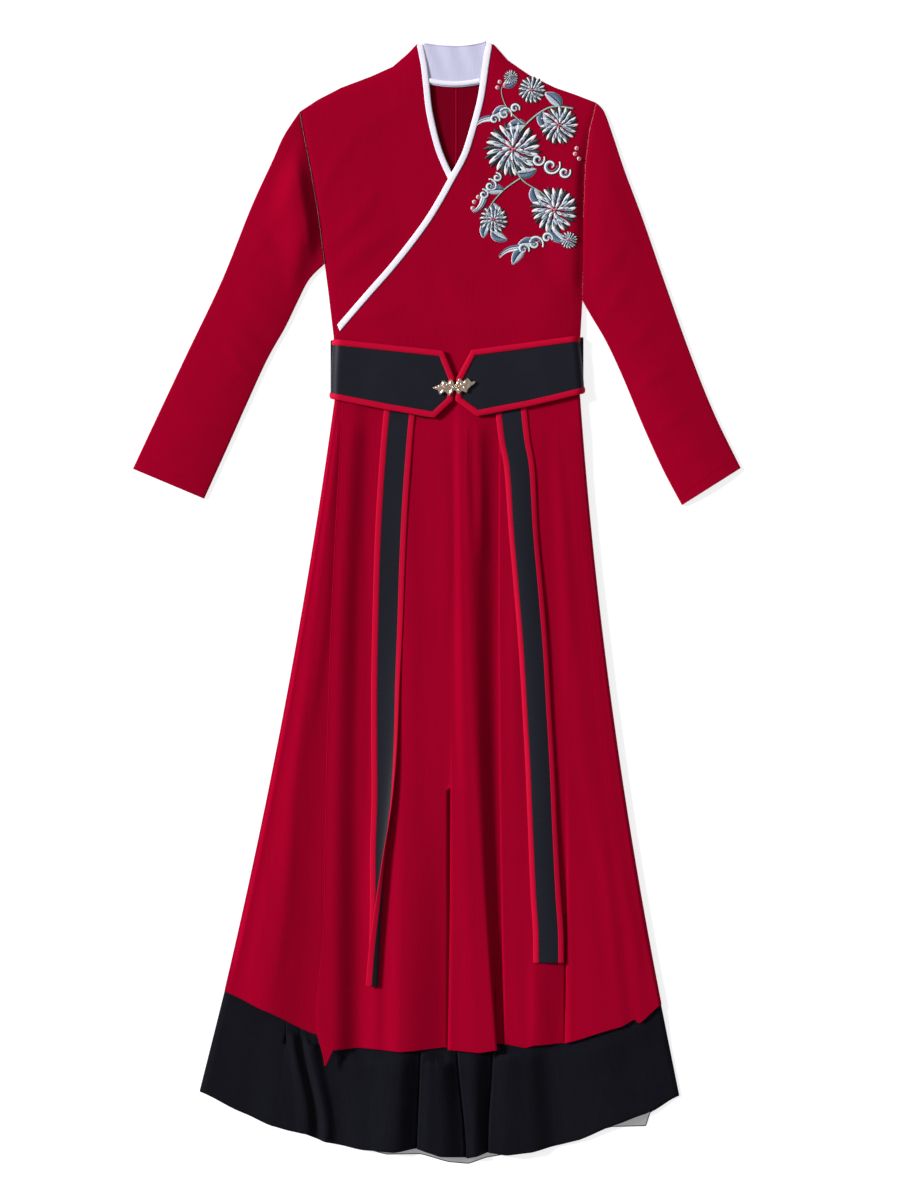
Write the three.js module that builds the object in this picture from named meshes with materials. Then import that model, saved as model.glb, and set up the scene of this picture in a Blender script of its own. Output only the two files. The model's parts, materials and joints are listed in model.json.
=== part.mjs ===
// A long-sleeved cross-collar dress with a pointed waist belt, laid flat on its back and seen from above.
// Millimetres. +Y runs to the collar, +X to the wearer's left, +Z up from the surface that it lies on.
// Sizes are taken from the centre back seam (x = 0) and from mid length (y = 0).
import * as THREE from "three";

// Cloth thicknesses and the gaps between pieces
const CREPE = 1.5;
const CHIFFON = 1.0;
const TRIM = 1.0;
const BELT = 1.6;
const WING = 2.0;
const SEAM = 0.3;
const LAID = 0.5; // between two wide layers that lie on each other

// Where the middle of the laid-out dress is, from the centre back seam
const MIDDLE_X = -22.75;
const MIDDLE_Y = -1.5;

// Bodice
const WAIST_Y = 283;
const SEWN = { middle: SEAM / 2, foot: WAIST_Y + SEAM / 2, skirt: WAIST_Y - SEAM / 2 }; // where panels meet
const PUFF = 2.0; // how far a front stands off the back
const PUFF_REACH = 60;
const OVERLAP_RAMP = 45;
const OVERLAP_FLAT = 8; // the over front lies flat for this far beyond the under front's edge
const BODICE_COLUMNS = { back: 8, front: 12 };

// Belt
const BELT_LOW = 228;
const BELT_HIGH = 338;
const BELT_EASE = 80; // length over which the cloth settles beside the belt
const WING_Z = 11.2; // underside of the belt's front wings
const WING_BEND = WING_Z - BELT - SEAM; // radius of the bend at each side
const BINDING_WIDTH = 7.5;
const AT_SIDE = 140; // a corner of a wing's outline past this is at the side seam
const WING_TIP = 1 / 3; // share of a wing over which its pointed end straightens out
const BACK_BELT = {
  right: { x: -155, low: 257, high: 327 },
  left: { x: 160, low: 264, high: 331 },
  sag: { low: 14, high: 6 },
  columns: 8,
};

// Collar trims
const TRIM_WIDTH = 7;
const TRIM_OVERHANG = 0.5;
const TRIM_CLEAR = 0.1; // more than a seam's gap, as the cloth below rounds up between its rows
const CROSSING_Y = 530; // the right trim goes under the left front below this
const TRIM_END_Y = 340; // the left trim's end, above the belt
const TRIM_SEGMENTS = { right: 12, left: 26 };
const EDGE_STEP = 0.01; // share of an edge over which its direction is measured

// Sleeves, as flattened tubes
const SLEEVE_EDGE = 3.4; // height of the folded edge
const SLEEVE_PUFF = 2.6;
const SLEEVE_HEAD = { start: 0.2, rise: 6 }; // how fast the puff grows from the armhole
const SLEEVE_ACROSS = [0, 0.1, 0.22, 0.36, 0.5, 0.64, 0.78, 0.9, 1];
const SLEEVE_LENGTHS = 11;

// Streamers
const STREAMER_WIDTH = 38.5;
const STREAMER_EDGING = 6.5;
const STREAMER_TOP = 246;
const CURL_HEIGHT = 0.62; // a curled strip lies pressed down to this share of a round curl's height
const STRIP_REST = SEAM + LAID;
const STRIP_GAP = 4 * SEAM; // along the strip, so that its parts stay a seam apart on the inside of a bend
const STRIP_COLUMNS = { core: 5, edging: 2, seat: 10 };

// Layers of the skirt, from the surface up
const UNDER_BACK_Z = CREPE + LAID;
const UNDER_FRONT_Z = UNDER_BACK_Z + CHIFFON + LAID;
const SKIRT_Z = UNDER_FRONT_Z + CHIFFON + LAID;
const SIDE_Z = CREPE + SEAM;
const SKIRT_COLUMNS = { back: 12, betweenLines: 2 };
const UNDER_INSET = 8;
const UNDER_HIDDEN = 6; // the underskirt starts to come down this far inside the red hem
const ARMHOLE_GAP = 0.9;

const crimson = cloth("crimson crepe", 0x9a0420, 0.85);
const binding = cloth("red binding", 0xbc0a2e, 0.6);
const black = cloth("black satin", 0x20212a, 0.55);
const chiffon = cloth("black chiffon", 0x17171f, 0.8);
const white = cloth("white trim", 0xf0ecfa, 0.7);
const lavender = cloth("collar lining", 0xd9d6ea, 0.8);
const metal = new THREE.MeshStandardMaterial({
  name: "pale gold metal",
  color: 0xd7c8b9,
  roughness: 0.3,
  metalness: 1,
});

function cloth(name, color, roughness) {
  return new THREE.MeshStandardMaterial({ name, color, roughness, metalness: 0 });
}

// Numbers
const mix = (a, b, t) => a + (b - a) * t;
const clamp = (t) => Math.min(1, Math.max(0, t));
const smooth = (t) => clamp(t) ** 2 * (3 - 2 * clamp(t));
const through = (a, b, c, t) =>
  a * (1 - t) * (1 - 2 * t) + 4 * b * t * (1 - t) + c * t * (2 * t - 1);
const steps = (count) => Array.from({ length: count + 1 }, (_, i) => i / count);

// y (or x) of a table of [x, y] points at a given x (or y), straight between its rows
function lookup(table, from, to, value) {
  const rows = [...table].sort((p, q) => p[from] - q[from]);
  const next = rows.findIndex((p) => p[from] >= value);
  if (next === 0) return rows[0][to];
  if (next < 0) return rows[rows.length - 1][to];
  const [a, b] = [rows[next - 1], rows[next]];
  return mix(a[to], b[to], (value - a[from]) / (b[from] - a[from] || 1));
}
const yAt = (table, x) => lookup(table, 0, 1, x);
const xAt = (table, y) => lookup(table, 1, 0, y);

// A soft curve through a table, and a line with corners: each gives a point for 0 to 1 of its length
function curve(table) {
  const spline = new THREE.SplineCurve(table.map((p) => new THREE.Vector2(...p)));
  return (t) => spline.getPointAt(clamp(t));
}
function corners(table) {
  const path = new THREE.CurvePath();
  for (let i = 1; i < table.length; i++) {
    const [a, b] = [new THREE.Vector2(...table[i - 1]), new THREE.Vector2(...table[i])];
    path.add(new THREE.LineCurve(a, b));
  }
  return (t) => path.getPointAt(clamp(t));
}

// Rows of plan points that fill the space between four edges (a Coons patch)
function patch({ bottom, top, left, right }, across, along) {
  const point = (u, v) => {
    const ruled = (axis) =>
      mix(bottom(u)[axis], top(u)[axis], v) + mix(left(v)[axis], right(v)[axis], u);
    const corner = (axis) =>
      mix(mix(bottom(0)[axis], bottom(1)[axis], u), mix(top(0)[axis], top(1)[axis], u), v);
    return [ruled("x") - corner("x"), ruled("y") - corner("y")];
  };
  return along.map((v) => across.map((u) => point(u, v)));
}
const raise = (plan, height) =>
  plan.map((row) => row.map(([x, y]) => new THREE.Vector3(x, y, height(x, y))));

// A mesh from positions and faces, turned so that its faces point out
function solid(name, points, faces, material) {
  let volume = 0;
  for (const [a, b, c] of faces) {
    volume += points[a].dot(new THREE.Vector3().crossVectors(points[b], points[c]));
  }
  const index = faces.flatMap((f) => (volume < 0 ? [f[0], f[2], f[1]] : f));
  const geometry = new THREE.BufferGeometry().setFromPoints(points).setIndex(index);
  geometry.computeVertexNormals();
  const mesh = new THREE.Mesh(geometry, material);
  mesh.name = name;
  return mesh;
}

// The unit normal of a grid of points at one of them
function normalAt(grid, r, c) {
  const clampRow = (i) => grid[Math.min(grid.length - 1, Math.max(0, i))];
  const clampColumn = (i) => Math.min(grid[0].length - 1, Math.max(0, i));
  const across = grid[r][clampColumn(c + 1)].clone().sub(grid[r][clampColumn(c - 1)]);
  const along = clampRow(r + 1)[c].clone().sub(clampRow(r - 1)[c]);
  return across.cross(along).normalize();
}
const moved = (grid, distance) =>
  grid.map((row, r) =>
    row.map((p, c) => p.clone().addScaledVector(normalAt(grid, r, c), distance)),
  );

// A wall of cloth: a grid of points on its underside, the same moved out by its thickness, closed all round
function wall(name, under, thickness, material) {
  const flip = normalAt(under, under.length >> 1, under[0].length >> 1).z < 0 ? -1 : 1;
  const over = moved(under, flip * thickness);
  const rows = under.length;
  const columns = under[0].length;
  const points = [...under.flat(), ...over.flat()];
  const at = (r, c, side) => side * rows * columns + r * columns + c;
  const faces = [];
  const quad = (a, b, c, d) => faces.push([a, b, c], [a, c, d]);
  for (let r = 1; r < rows; r++) {
    for (let c = 1; c < columns; c++) {
      quad(at(r - 1, c - 1, 1), at(r - 1, c, 1), at(r, c, 1), at(r, c - 1, 1));
      quad(at(r - 1, c - 1, 0), at(r, c - 1, 0), at(r, c, 0), at(r - 1, c, 0));
    }
  }
  for (let c = 1; c < columns; c++) {
    quad(at(0, c - 1, 0), at(0, c, 0), at(0, c, 1), at(0, c - 1, 1));
    quad(at(rows - 1, c, 0), at(rows - 1, c - 1, 0), at(rows - 1, c - 1, 1), at(rows - 1, c, 1));
  }
  for (let r = 1; r < rows; r++) {
    quad(at(r, 0, 0), at(r - 1, 0, 0), at(r - 1, 0, 1), at(r, 0, 1));
    quad(at(r - 1, columns - 1, 0), at(r, columns - 1, 0), at(r, columns - 1, 1), at(r - 1, columns - 1, 1));
  }
  return solid(name, points, faces, material);
}

// An open tube of cloth from matching outer and inner rings
function tube(name, outer, inner, material) {
  const around = outer[0].length;
  const rings = outer.length;
  const points = [...outer.flat(), ...inner.flat()];
  const at = (r, i, side) => (side * rings + r) * around + (i % around);
  const faces = [];
  const quad = (a, b, c, d) => faces.push([a, b, c], [a, c, d]);
  for (let i = 0; i < around; i++) {
    for (let r = 1; r < rings; r++) {
      quad(at(r - 1, i, 0), at(r - 1, i + 1, 0), at(r, i + 1, 0), at(r, i, 0));
      quad(at(r - 1, i, 1), at(r, i, 1), at(r, i + 1, 1), at(r - 1, i + 1, 1));
    }
    const last = rings - 1;
    quad(at(0, i, 1), at(0, i + 1, 1), at(0, i + 1, 0), at(0, i, 0));
    quad(at(last, i, 0), at(last, i + 1, 0), at(last, i + 1, 1), at(last, i, 1));
  }
  return solid(name, points, faces, material);
}

// Plan points of a band that follows an edge, from one offset to another on its right-hand side
function band(edge, from, to, count) {
  return steps(count).map((t) => {
    const [a, b] = [edge(t - EDGE_STEP), edge(t + EDGE_STEP)];
    const way = b.clone().sub(a).normalize();
    const at = edge(t);
    return [from, to].map((d) => [at.x + way.y * d, at.y - way.x * d]);
  });
}

// Outlines, as [x, y] rows. "Right" and "left" are the wearer's, so the right side has negative x.
const RIGHT = {
  side: [[-148, WAIST_Y], [-151, 330], [-157.5, 385], [-162.5, 423]],
  armhole: [[-162.5, 423], [-170.5, 484], [-179.5, 538], [-187.5, 578], [-193.8, 613]],
  shoulder: [[-193.8, 613], [-171, 628], [-142, 643], [-105, 657], [-77, 669.5]],
  collarRise: [[-77, 669.5], [-58.8, 685.6], [-48, 697]],
  edge: [[-41.2, 697.5], [-36.2, 671], [-33.5, 648], [-29.4, 613], [-18.8, 569], [-5, 536],
    [25, 484], [62, 440], [100, 390], [122, 340], [132, WAIST_Y]],
  sleeveOuter: [[-194.3, 613], [-214, 583], [-227.5, 553], [-255, 493], [-291, 403], [-335, 310.6],
    [-377.5, 220.6], [-402.5, 167]],
  sleeveInner: [[-163, 423], [-182.5, 403], [-198, 373], [-212.5, 343], [-235, 303], [-262.5, 243],
    [-286, 190], [-313.5, 129.5]],
};
const LEFT = {
  side: [[155, WAIST_Y], [156, 330], [158.8, 377]],
  armhole: [[158.8, 377], [160, 484], [162.5, 547], [167.5, 590], [176, 624.4]],
  shoulder: [[176, 624.4], [150, 634.4], [125, 643], [94, 658], [77, 669.5]],
  collarRise: [[77, 669.5], [66, 677], [57.5, 687], [48, 697.5]],
  edge: [[40, 697.5], [36, 673], [32.5, 648], [27.5, 620.6], [13.8, 572], [6.2, 553], [-6.2, 530.6],
    [-20.6, 504.4], [-36.9, 478], [-58.8, 448], [-83, 418], [-109.4, 388], [-146, 345.6], [-148, 315],
    [-149, WAIST_Y]],
  sleeveOuter: [[176.5, 624.4], [186.5, 613], [197.5, 583], [212.5, 538], [235, 478], [261, 403],
    [294, 310.6], [324, 235.6], [357, 168]],
  sleeveInner: [[159.3, 377], [170, 358], [189, 325.6], [210, 280.6], [235, 220.6], [260, 165.6],
    [283.5, 121.5]],
};
const NECK_CURVE = [[0, 643], [-37.5, 647], [-60, 656], [-77, 669.5]];
const COLLAR_TOP = [[-48, 697], [0, 698], [48, 697.5]];
const NECK_GAP = 0.5;
const COLLAR_COLUMNS = 8;

// The red skirt's hem, without its small corner tip, and how far the back's is above the front's
const RED_HEM = [[-287.5, -484], [-234, -509], [-171, -541], [-150, -558], [-62, -559], [0, -560],
  [52, -551], [130, -549], [164, -549], [224, -518], [257.5, -501]];
const BACK_HEM_RISE = 4;

// Lengthwise lines of the skirt: x at the waist, half way and at the hem, the hem's y, and the height of the
// cloth's underside above the flat underskirt at the same three places (side lines are set apart below).
const SIDE_RIGHT = { waist: -146, half: -207, hem: -287.5, hemY: -484, emerge: 0.86 };
const SIDE_LEFT = { waist: 154, half: 193, hem: 257.5, hemY: -501, emerge: 0.875 };
const SIDE_PANEL_LINES = [
  { at: "side bend", waist: -142, half: -201, hem: -280, hemY: -488, up: [0, 0, 0.2] },
  { at: "middle", waist: -138, half: -185, hem: -236, hemY: -509, up: [0, 1.2, 2.2] },
  { at: "under the front's edge", waist: -134, half: -160, hem: -178, hemY: -537, up: [0, 0, 0] },
  { at: "inner edge", waist: -128, half: -148, hem: -153, hemY: -545, up: [0, 0, 0] },
];
const FRONT_LINES = [
  { at: "free edge", waist: -137, half: -158, hem: -162, hemY: -577, up: [1.9, 2.4, 2.2] },
  { at: "above the inner edge", waist: -124, half: -144, hem: -148, hemY: -557, up: [1.9, 2.2, 2.2] },
  { at: "first valley", waist: -108, half: -128, hem: -132, hemY: -556, up: [0, 0, 0] },
  { at: "first ridge", waist: -72, half: -74, hem: -70, hemY: -559.5, up: [0, 3.2, 6.5] },
  { at: "shallow valley", waist: -30, half: -28, hem: -26, hemY: -555, up: [0, 0.4, 0.8] },
  { at: "high ridge", waist: 8, half: 10, hem: 22, hemY: -560.5, up: [0.6, 4.5, 9] },
  { at: "folded edge", waist: 40, half: 30, hem: 49, hemY: -551, up: [0.6, 4.5, 8] },
  { at: "deep valley", waist: 48, half: 41, hem: 62, hemY: -549, up: [0, 0, 0] },
  { at: "plateau", waist: 66, half: 66, hem: 88, hemY: -554, up: [0, 2, 4] },
  { at: "soft ridge", waist: 98, half: 106, hem: 112, hemY: -552, up: [0, 2.2, 4] },
  { at: "soft valley", waist: 120, half: 134, hem: 142, hemY: -548.5, up: [0, 0.8, 0.6] },
  { at: "left plateau", waist: 138, half: 165, hem: 206, hemY: -529, up: [0, 2, 3.2] },
  { at: "side bend", waist: 149, half: 188, hem: 251, hemY: -505, up: [0, 0, 0.2] },
];
const SKIRT_ROWS = [0, 0.03, 0.06, 0.1, 0.14, 0.19, 0.26, 0.34, 0.42, 0.5, 0.58, 0.66, 0.74, 0.82,
  0.9, 0.96, 1];

// Lines of the black underskirt: where they are across its width, the hem's y, and a fold's height at the hem
const UNDER_HEM = { right: -318.8, left: 280 };
const UNDER_FRONT_LINES = [
  { across: 0, hemY: -610.6, fold: 0 },
  { across: 0.09, hemY: -637, fold: 1 },
  { across: 0.14, hemY: -651, fold: 2 },
  { across: 0.19, hemY: -659.5, fold: 0.8 },
  { across: 0.219, hemY: -662, fold: 5 },
  { across: 0.237, hemY: -667, fold: 0.5 },
  { across: 0.257, hemY: -672, fold: 5 },
  { across: 0.283, hemY: -676, fold: 0.8 },
  { across: 0.34, hemY: -683, fold: 2.5 },
  { across: 0.4, hemY: -686, fold: 3 },
  { across: 0.435, hemY: -682, fold: 0.5 },
  { across: 0.457, hemY: -681, fold: 0.5 },
  { across: 0.477, hemY: -686, fold: 5 },
  { across: 0.503, hemY: -691, fold: 6 },
  { across: 0.523, hemY: -692, fold: 0.8 },
  { across: 0.545, hemY: -694, fold: 5 },
  { across: 0.571, hemY: -692, fold: 5.5 },
  { across: 0.592, hemY: -685, fold: 0.5 },
  { across: 0.612, hemY: -687, fold: 0.5 },
  { across: 0.64, hemY: -689, fold: 4 },
  { across: 0.695, hemY: -685.6, fold: 3 },
  { across: 0.742, hemY: -678, fold: 0.8 },
  { across: 0.79, hemY: -671, fold: 2.5 },
  { across: 0.86, hemY: -653, fold: 3 },
  { across: 0.93, hemY: -638, fold: 2 },
  { across: 1, hemY: -615.6, fold: 0 },
];
const UNDER_BACK_LINES = [
  { across: 0, hemY: -609 },
  { across: 0.13, hemY: -648 },
  { across: 0.19, hemY: -660 },
  { across: 0.26, hemY: -670 },
  { across: 0.33, hemY: -680 },
  { across: 0.39, hemY: -689.5 },
  { across: 0.46, hemY: -689 },
  { across: 0.52, hemY: -699 },
  { across: 0.56, hemY: -701 },
  { across: 0.6, hemY: -693 },
  { across: 0.72, hemY: -680 },
  { across: 0.86, hemY: -655 },
  { across: 0.93, hemY: -654 },
  { across: 0.94, hemY: -637 },
  { across: 1, hemY: -615 },
];
const UNDER_ROWS = [0, 0.03, 0.07, 0.12, 0.2, 0.32, 0.46, 0.6, 0.72, 0.81, 0.86, 0.875, 0.89, 0.92, 0.96, 1];
const EMERGED = 0.03; // further along, its sides are out at their full width
const SETTLE = 50; // length over which the underskirt settles onto the surface

// Belt wings, as corners of their outline from the side seam round the pointed end and back
const WING_RIGHT = {
  sign: -1,
  reach: 155.4,
  top: [[158, 328], [15, 313]],
  end: [[26, 231], [3.4, 252], [1.6, 280], [15, 313]],
  bottom: [[158, 256], [84, 241], [26, 231]],
};
const WING_LEFT = {
  sign: 1,
  reach: 160.6,
  top: [[163, 332.5], [21, 314]],
  end: [[27.5, 233], [1.4, 252], [2.6, 279], [21, 314]],
  bottom: [[163, 263], [90, 245], [27.5, 233]],
};

// Streamers: y, x of the edge nearer the right side, and how the strip bends across: curl turns its left edge
// up and over, crown lifts its middle (degrees, over the whole width)
const STREAMER_RIGHT = [
  { y: STREAMER_TOP, x: -87.5, curl: 0, crown: 0 },
  { y: 205, x: -91.5, curl: 4, crown: 0 },
  { y: 128, x: -97, curl: 10, crown: 0 },
  { y: 53, x: -100.5, curl: 14, crown: 0 },
  { y: -22, x: -102.5, curl: 24, crown: 0 },
  { y: -97, x: -104, curl: 42, crown: 0 },
  { y: -172, x: -104, curl: 58, crown: 0 },
  { y: -247, x: -103.7, curl: 86, crown: 0 },
  { y: -310, x: -105.5, curl: 116, crown: 0 },
  { y: -372, x: -105.5, curl: 150, crown: 0 },
  { y: -434, x: -106.5, curl: 182, crown: 0 },
  { y: -478, x: -107.5, curl: 196, crown: 0 },
];
const STREAMER_LEFT = [
  { y: STREAMER_TOP, x: 50, curl: 0, crown: 0 },
  { y: 203, x: 55, curl: 0, crown: 20 },
  { y: 165, x: 62, curl: 0, crown: 50 },
  { y: 90, x: 67.5, curl: 0, crown: 80 },
  { y: 15, x: 74, curl: 0, crown: 80 },
  { y: -60, x: 80, curl: 0, crown: 80 },
  { y: -135, x: 84.5, curl: 0, crown: 84 },
  { y: -210, x: 88.5, curl: 0, crown: 80 },
  { y: -285, x: 91.5, curl: 0, crown: 76 },
  { y: -360, x: 94.5, curl: 0, crown: 60 },
  { y: -410, x: 97.5, curl: 0, crown: 50 },
  { y: -449, x: 98, curl: 0, crown: 50 },
];

// Heights of the laid layers. Over the back of the belt everything is lifted.
const lift = (y) =>
  (BELT + SEAM) * (smooth((y - BELT_LOW) / BELT_EASE + 1) - smooth((y - BELT_HIGH) / BELT_EASE));
const sideOf = (person) => [...person.side, ...person.armhole.slice(1)];
const shoulderOf = (person) => [...person.shoulder, ...person.collarRise.slice(1)];
function standOff(person, x, y) {
  const fromSide = Math.abs(xAt(sideOf(person), y) - x);
  const fromShoulder = yAt(shoulderOf(person), x) - y;
  const rise = (d) => Math.sin((clamp(d / PUFF_REACH) * Math.PI) / 2);
  return lift(y) + CREPE + SEAM + PUFF * rise(fromSide) * rise(fromShoulder);
}
const underFrontHeight = (x, y) => Math.min(standOff(RIGHT, x, y), standOff(LEFT, x, y));
function overFrontHeight(x, y) {
  const beyond = x - xAt(RIGHT.edge, y);
  return underFrontHeight(x, y) + (CREPE + LAID) * (1 - smooth((beyond - OVERLAP_FLAT) / OVERLAP_RAMP));
}

// Bodice
const BODICE_ROWS = [0, 0.05, 0.1, 0.16, 0.22, 0.29, 0.37, 0.46, 0.55, 0.64, 0.73, 0.82, 0.91, 1];
function sideSeam(person) {
  return corners(sideOf(person));
}

function backPanel(name, person) {
  const sign = Math.sign(person.side[0][0]);
  const neck = NECK_CURVE.map(([x, y]) => [-x * sign, y]);
  const middle = sign * SEWN.middle;
  const centre = (y) => new THREE.Vector2(middle, y);
  const neckEdge = corners([[middle, neck[0][1]], ...neck.slice(1)]);
  const shoulder = corners([...person.shoulder].reverse());
  const plan = patch(
    {
      bottom: (u) => new THREE.Vector2(mix(middle, person.side[0][0], u), SEWN.foot),
      top: (u) => (u < 0.5 ? neckEdge(2 * u) : shoulder(2 * u - 1)),
      left: (v) => centre(mix(SEWN.foot, neck[0][1], v)),
      right: (v) => {
        const p = sideSeam(person)(v);
        return v === 0 ? p.setY(SEWN.foot) : p;
      },
    },
    steps(BODICE_COLUMNS.back),
    BODICE_ROWS,
  );
  return wall(name, raise(plan, (x, y) => lift(y)), CREPE, crimson);
}

function frontPanel(name, person, height) {
  const start = person.edge[person.edge.length - 1];
  const shoulder = [...person.shoulder].reverse();
  const top = [person.edge[0], ...[...person.collarRise].reverse(), ...shoulder.slice(1)];
  const waist = (p) => (p.y < SEWN.foot ? p.setY(SEWN.foot) : p);
  const plan = patch(
    {
      bottom: (u) => waist(new THREE.Vector2(mix(start[0], person.side[0][0], u), WAIST_Y)),
      top: corners(top),
      left: (v) => waist(corners([...person.edge].reverse())(v)),
      right: (v) => waist(sideSeam(person)(v)),
    },
    steps(BODICE_COLUMNS.front),
    BODICE_ROWS,
  );
  return wall(name, raise(plan, height), CREPE, crimson);
}

function sleeve(name, person) {
  const along = steps(SLEEVE_LENGTHS);
  const outerEdge = curve(person.sleeveOuter);
  const innerEdge = curve(person.sleeveInner);
  const outward = Math.sign(person.sleeveOuter[0][0]) * ARMHOLE_GAP;
  const armhole = corners([...person.armhole].reverse());
  const cuff = corners([person.sleeveOuter.at(-1), person.sleeveInner.at(-1)]);
  const head = (u) => armhole(u).add(new THREE.Vector2(outward, 0));
  const place = ([x, y], z) => new THREE.Vector3(x, y, z);
  const ring = (v, inset, low, high) => {
    const width = outerEdge(v).distanceTo(innerEdge(v));
    const at = (u) => patch({ bottom: head, top: cuff, left: outerEdge, right: innerEdge }, [u], [v])[0][0];
    const fit = (u, edge) => mix(edge / width, 1 - edge / width, u);
    const flat = inset + SLEEVE_EDGE / 2;
    const under = SLEEVE_ACROSS.map((u) => place(at(fit(u, flat)), low));
    const over = SLEEVE_ACROSS.map((u) => {
      const grown = smooth(v * SLEEVE_HEAD.rise + SLEEVE_HEAD.start);
      const puff = SLEEVE_PUFF * Math.sin(Math.PI * u) * grown;
      return place(at(fit(u, flat)), high + puff);
    });
    const bend = (u) => place(at(fit(u, inset)), SLEEVE_EDGE / 2);
    return [...under, bend(1), ...over.reverse(), bend(0)];
  };
  const outer = along.map((v) => ring(v, 0, 0, SLEEVE_EDGE));
  const inner = along.map((v) => ring(v, CREPE, CREPE, SLEEVE_EDGE - CREPE));
  return tube(name, outer, inner, crimson);
}

// Collar: the red band behind the neck, its white lining, the rolled seam band and the white edge trims
function collarBack() {
  const raised = (table) => table.map(([x, y], i) => [x, i === 0 ? y + NECK_GAP : y]);
  const plan = patch(
    {
      bottom: (u) => {
        const p = corners(NECK_CURVE)(Math.abs(2 * u - 1));
        return new THREE.Vector2(u > 0.5 ? -p.x : p.x, p.y + NECK_GAP);
      },
      top: corners(COLLAR_TOP),
      left: corners(raised(RIGHT.collarRise)),
      right: corners(raised(LEFT.collarRise)),
    },
    steps(COLLAR_COLUMNS),
    steps(2),
  );
  return wall("collar_back", raise(plan, () => 0), CREPE, crimson);
}

const LINING = { half: 33, halfTop: 39, low: 644, top: 695, bow: 4 };
function collarLining() {
  const { half, halfTop, low, top, bow } = LINING;
  const foot = (u) => low + bow * (2 * u - 1) ** 2;
  const plan = steps(2).map((v) =>
    steps(COLLAR_COLUMNS).map((u) => [(2 * u - 1) * mix(half, halfTop, v), mix(foot(u), top, v)]),
  );
  return wall("collar_lining", raise(plan, () => CREPE + SEAM), TRIM, lavender);
}

const SEAM_BAND = { height: 6, inset: 1 };
function neckSeamBand() {
  const { half, low, bow } = LINING;
  const z = CREPE + SEAM + TRIM + SEAM;
  const foot = (u) => low + SEAM_BAND.inset + bow * (2 * u - 1) ** 2;
  const reach = half - SEAM_BAND.inset;
  const plan = steps(1).map((v) =>
    steps(COLLAR_COLUMNS).map((u) => [(2 * u - 1) * reach, foot(u) + v * SEAM_BAND.height]),
  );
  return wall("neck_seam_band", raise(plan, () => z), TRIM, white);
}

function neckTrim(name, edge, side, height, count) {
  const plan = band(curve(edge), -TRIM_OVERHANG * side, TRIM_WIDTH * side, count);
  return wall(name, raise(plan, (x, y) => height(x, y) + CREPE + SEAM + TRIM_CLEAR), TRIM, white);
}

// Skirt. A line's place at a share of the way from the waist to its hem.
function linePoint(line, v) {
  const x = through(line.waist, line.half, line.hem, v);
  const y = mix(SEWN.skirt, line.hemY, v);
  if (!line.up) return new THREE.Vector3(x, y, SIDE_Z + lift(y));
  const [waist, half, hem] = line.up;
  const up = v < 0.5 ? mix(waist, half, smooth(2 * v)) : mix(half, hem, smooth(2 * v - 1));
  return new THREE.Vector3(x, y, SKIRT_Z + up + lift(y));
}

// A skirt panel through its lines, rounded from each to the next
function skirtGrid(lines) {
  const between = SKIRT_COLUMNS.betweenLines;
  return SKIRT_ROWS.map((v) => {
    const row = [linePoint(lines[0], v)];
    for (let i = 1; i < lines.length; i++) {
      const [a, b] = [linePoint(lines[i - 1], v), linePoint(lines[i], v)];
      for (let k = 1; k <= between; k++) {
        const t = k / between;
        const p = a.clone().lerp(b, t);
        p.z = mix(a.z, b.z, (1 - Math.cos(Math.PI * t)) / 2);
        row.push(p);
      }
    }
    return row;
  });
}

function skirtBack() {
  const across = steps(SKIRT_COLUMNS.back);
  const grid = SKIRT_ROWS.map((v) =>
    across.map((u) => {
      const x = mix(linePoint(SIDE_RIGHT, v).x, linePoint(SIDE_LEFT, v).x, u);
      const hemX = mix(SIDE_RIGHT.hem, SIDE_LEFT.hem, u);
      const hemY = yAt(RED_HEM, hemX) + (u > 0 && u < 1 ? BACK_HEM_RISE : 0);
      const y = mix(SEWN.skirt, hemY, v);
      return new THREE.Vector3(x, y, lift(y));
    }),
  );
  return wall("skirt_back", grid, CREPE, crimson);
}

// Underskirt. Above the red hem it lies inside the red skirt, and below it on the surface.
function underEdge(side, hemX, v) {
  const inward = -Math.sign(side.hem) * UNDER_INSET * (1 - smooth((v - side.emerge) / EMERGED));
  if (v < side.emerge) return through(side.waist, side.half, side.hem, v / side.emerge) + inward;
  return mix(side.hem, hemX, (v - side.emerge) / (1 - side.emerge)) + inward;
}
function underGrid(lines, layer, rest) {
  return UNDER_ROWS.map((v) =>
    lines.map(({ across, hemY, fold = 0 }) => {
      const right = underEdge(SIDE_RIGHT, UNDER_HEM.right, v);
      const left = underEdge(SIDE_LEFT, UNDER_HEM.left, v);
      const x = mix(right, left, across);
      const y = mix(SEWN.skirt, hemY, v);
      const below = smooth((yAt(RED_HEM, x) - UNDER_HIDDEN - y) / SETTLE);
      const folded = fold * smooth((v - SIDE_RIGHT.emerge) / (1 - SIDE_RIGHT.emerge));
      return new THREE.Vector3(x, y, mix(layer, rest, below) + folded * below + lift(y));
    }),
  );
}

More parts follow.
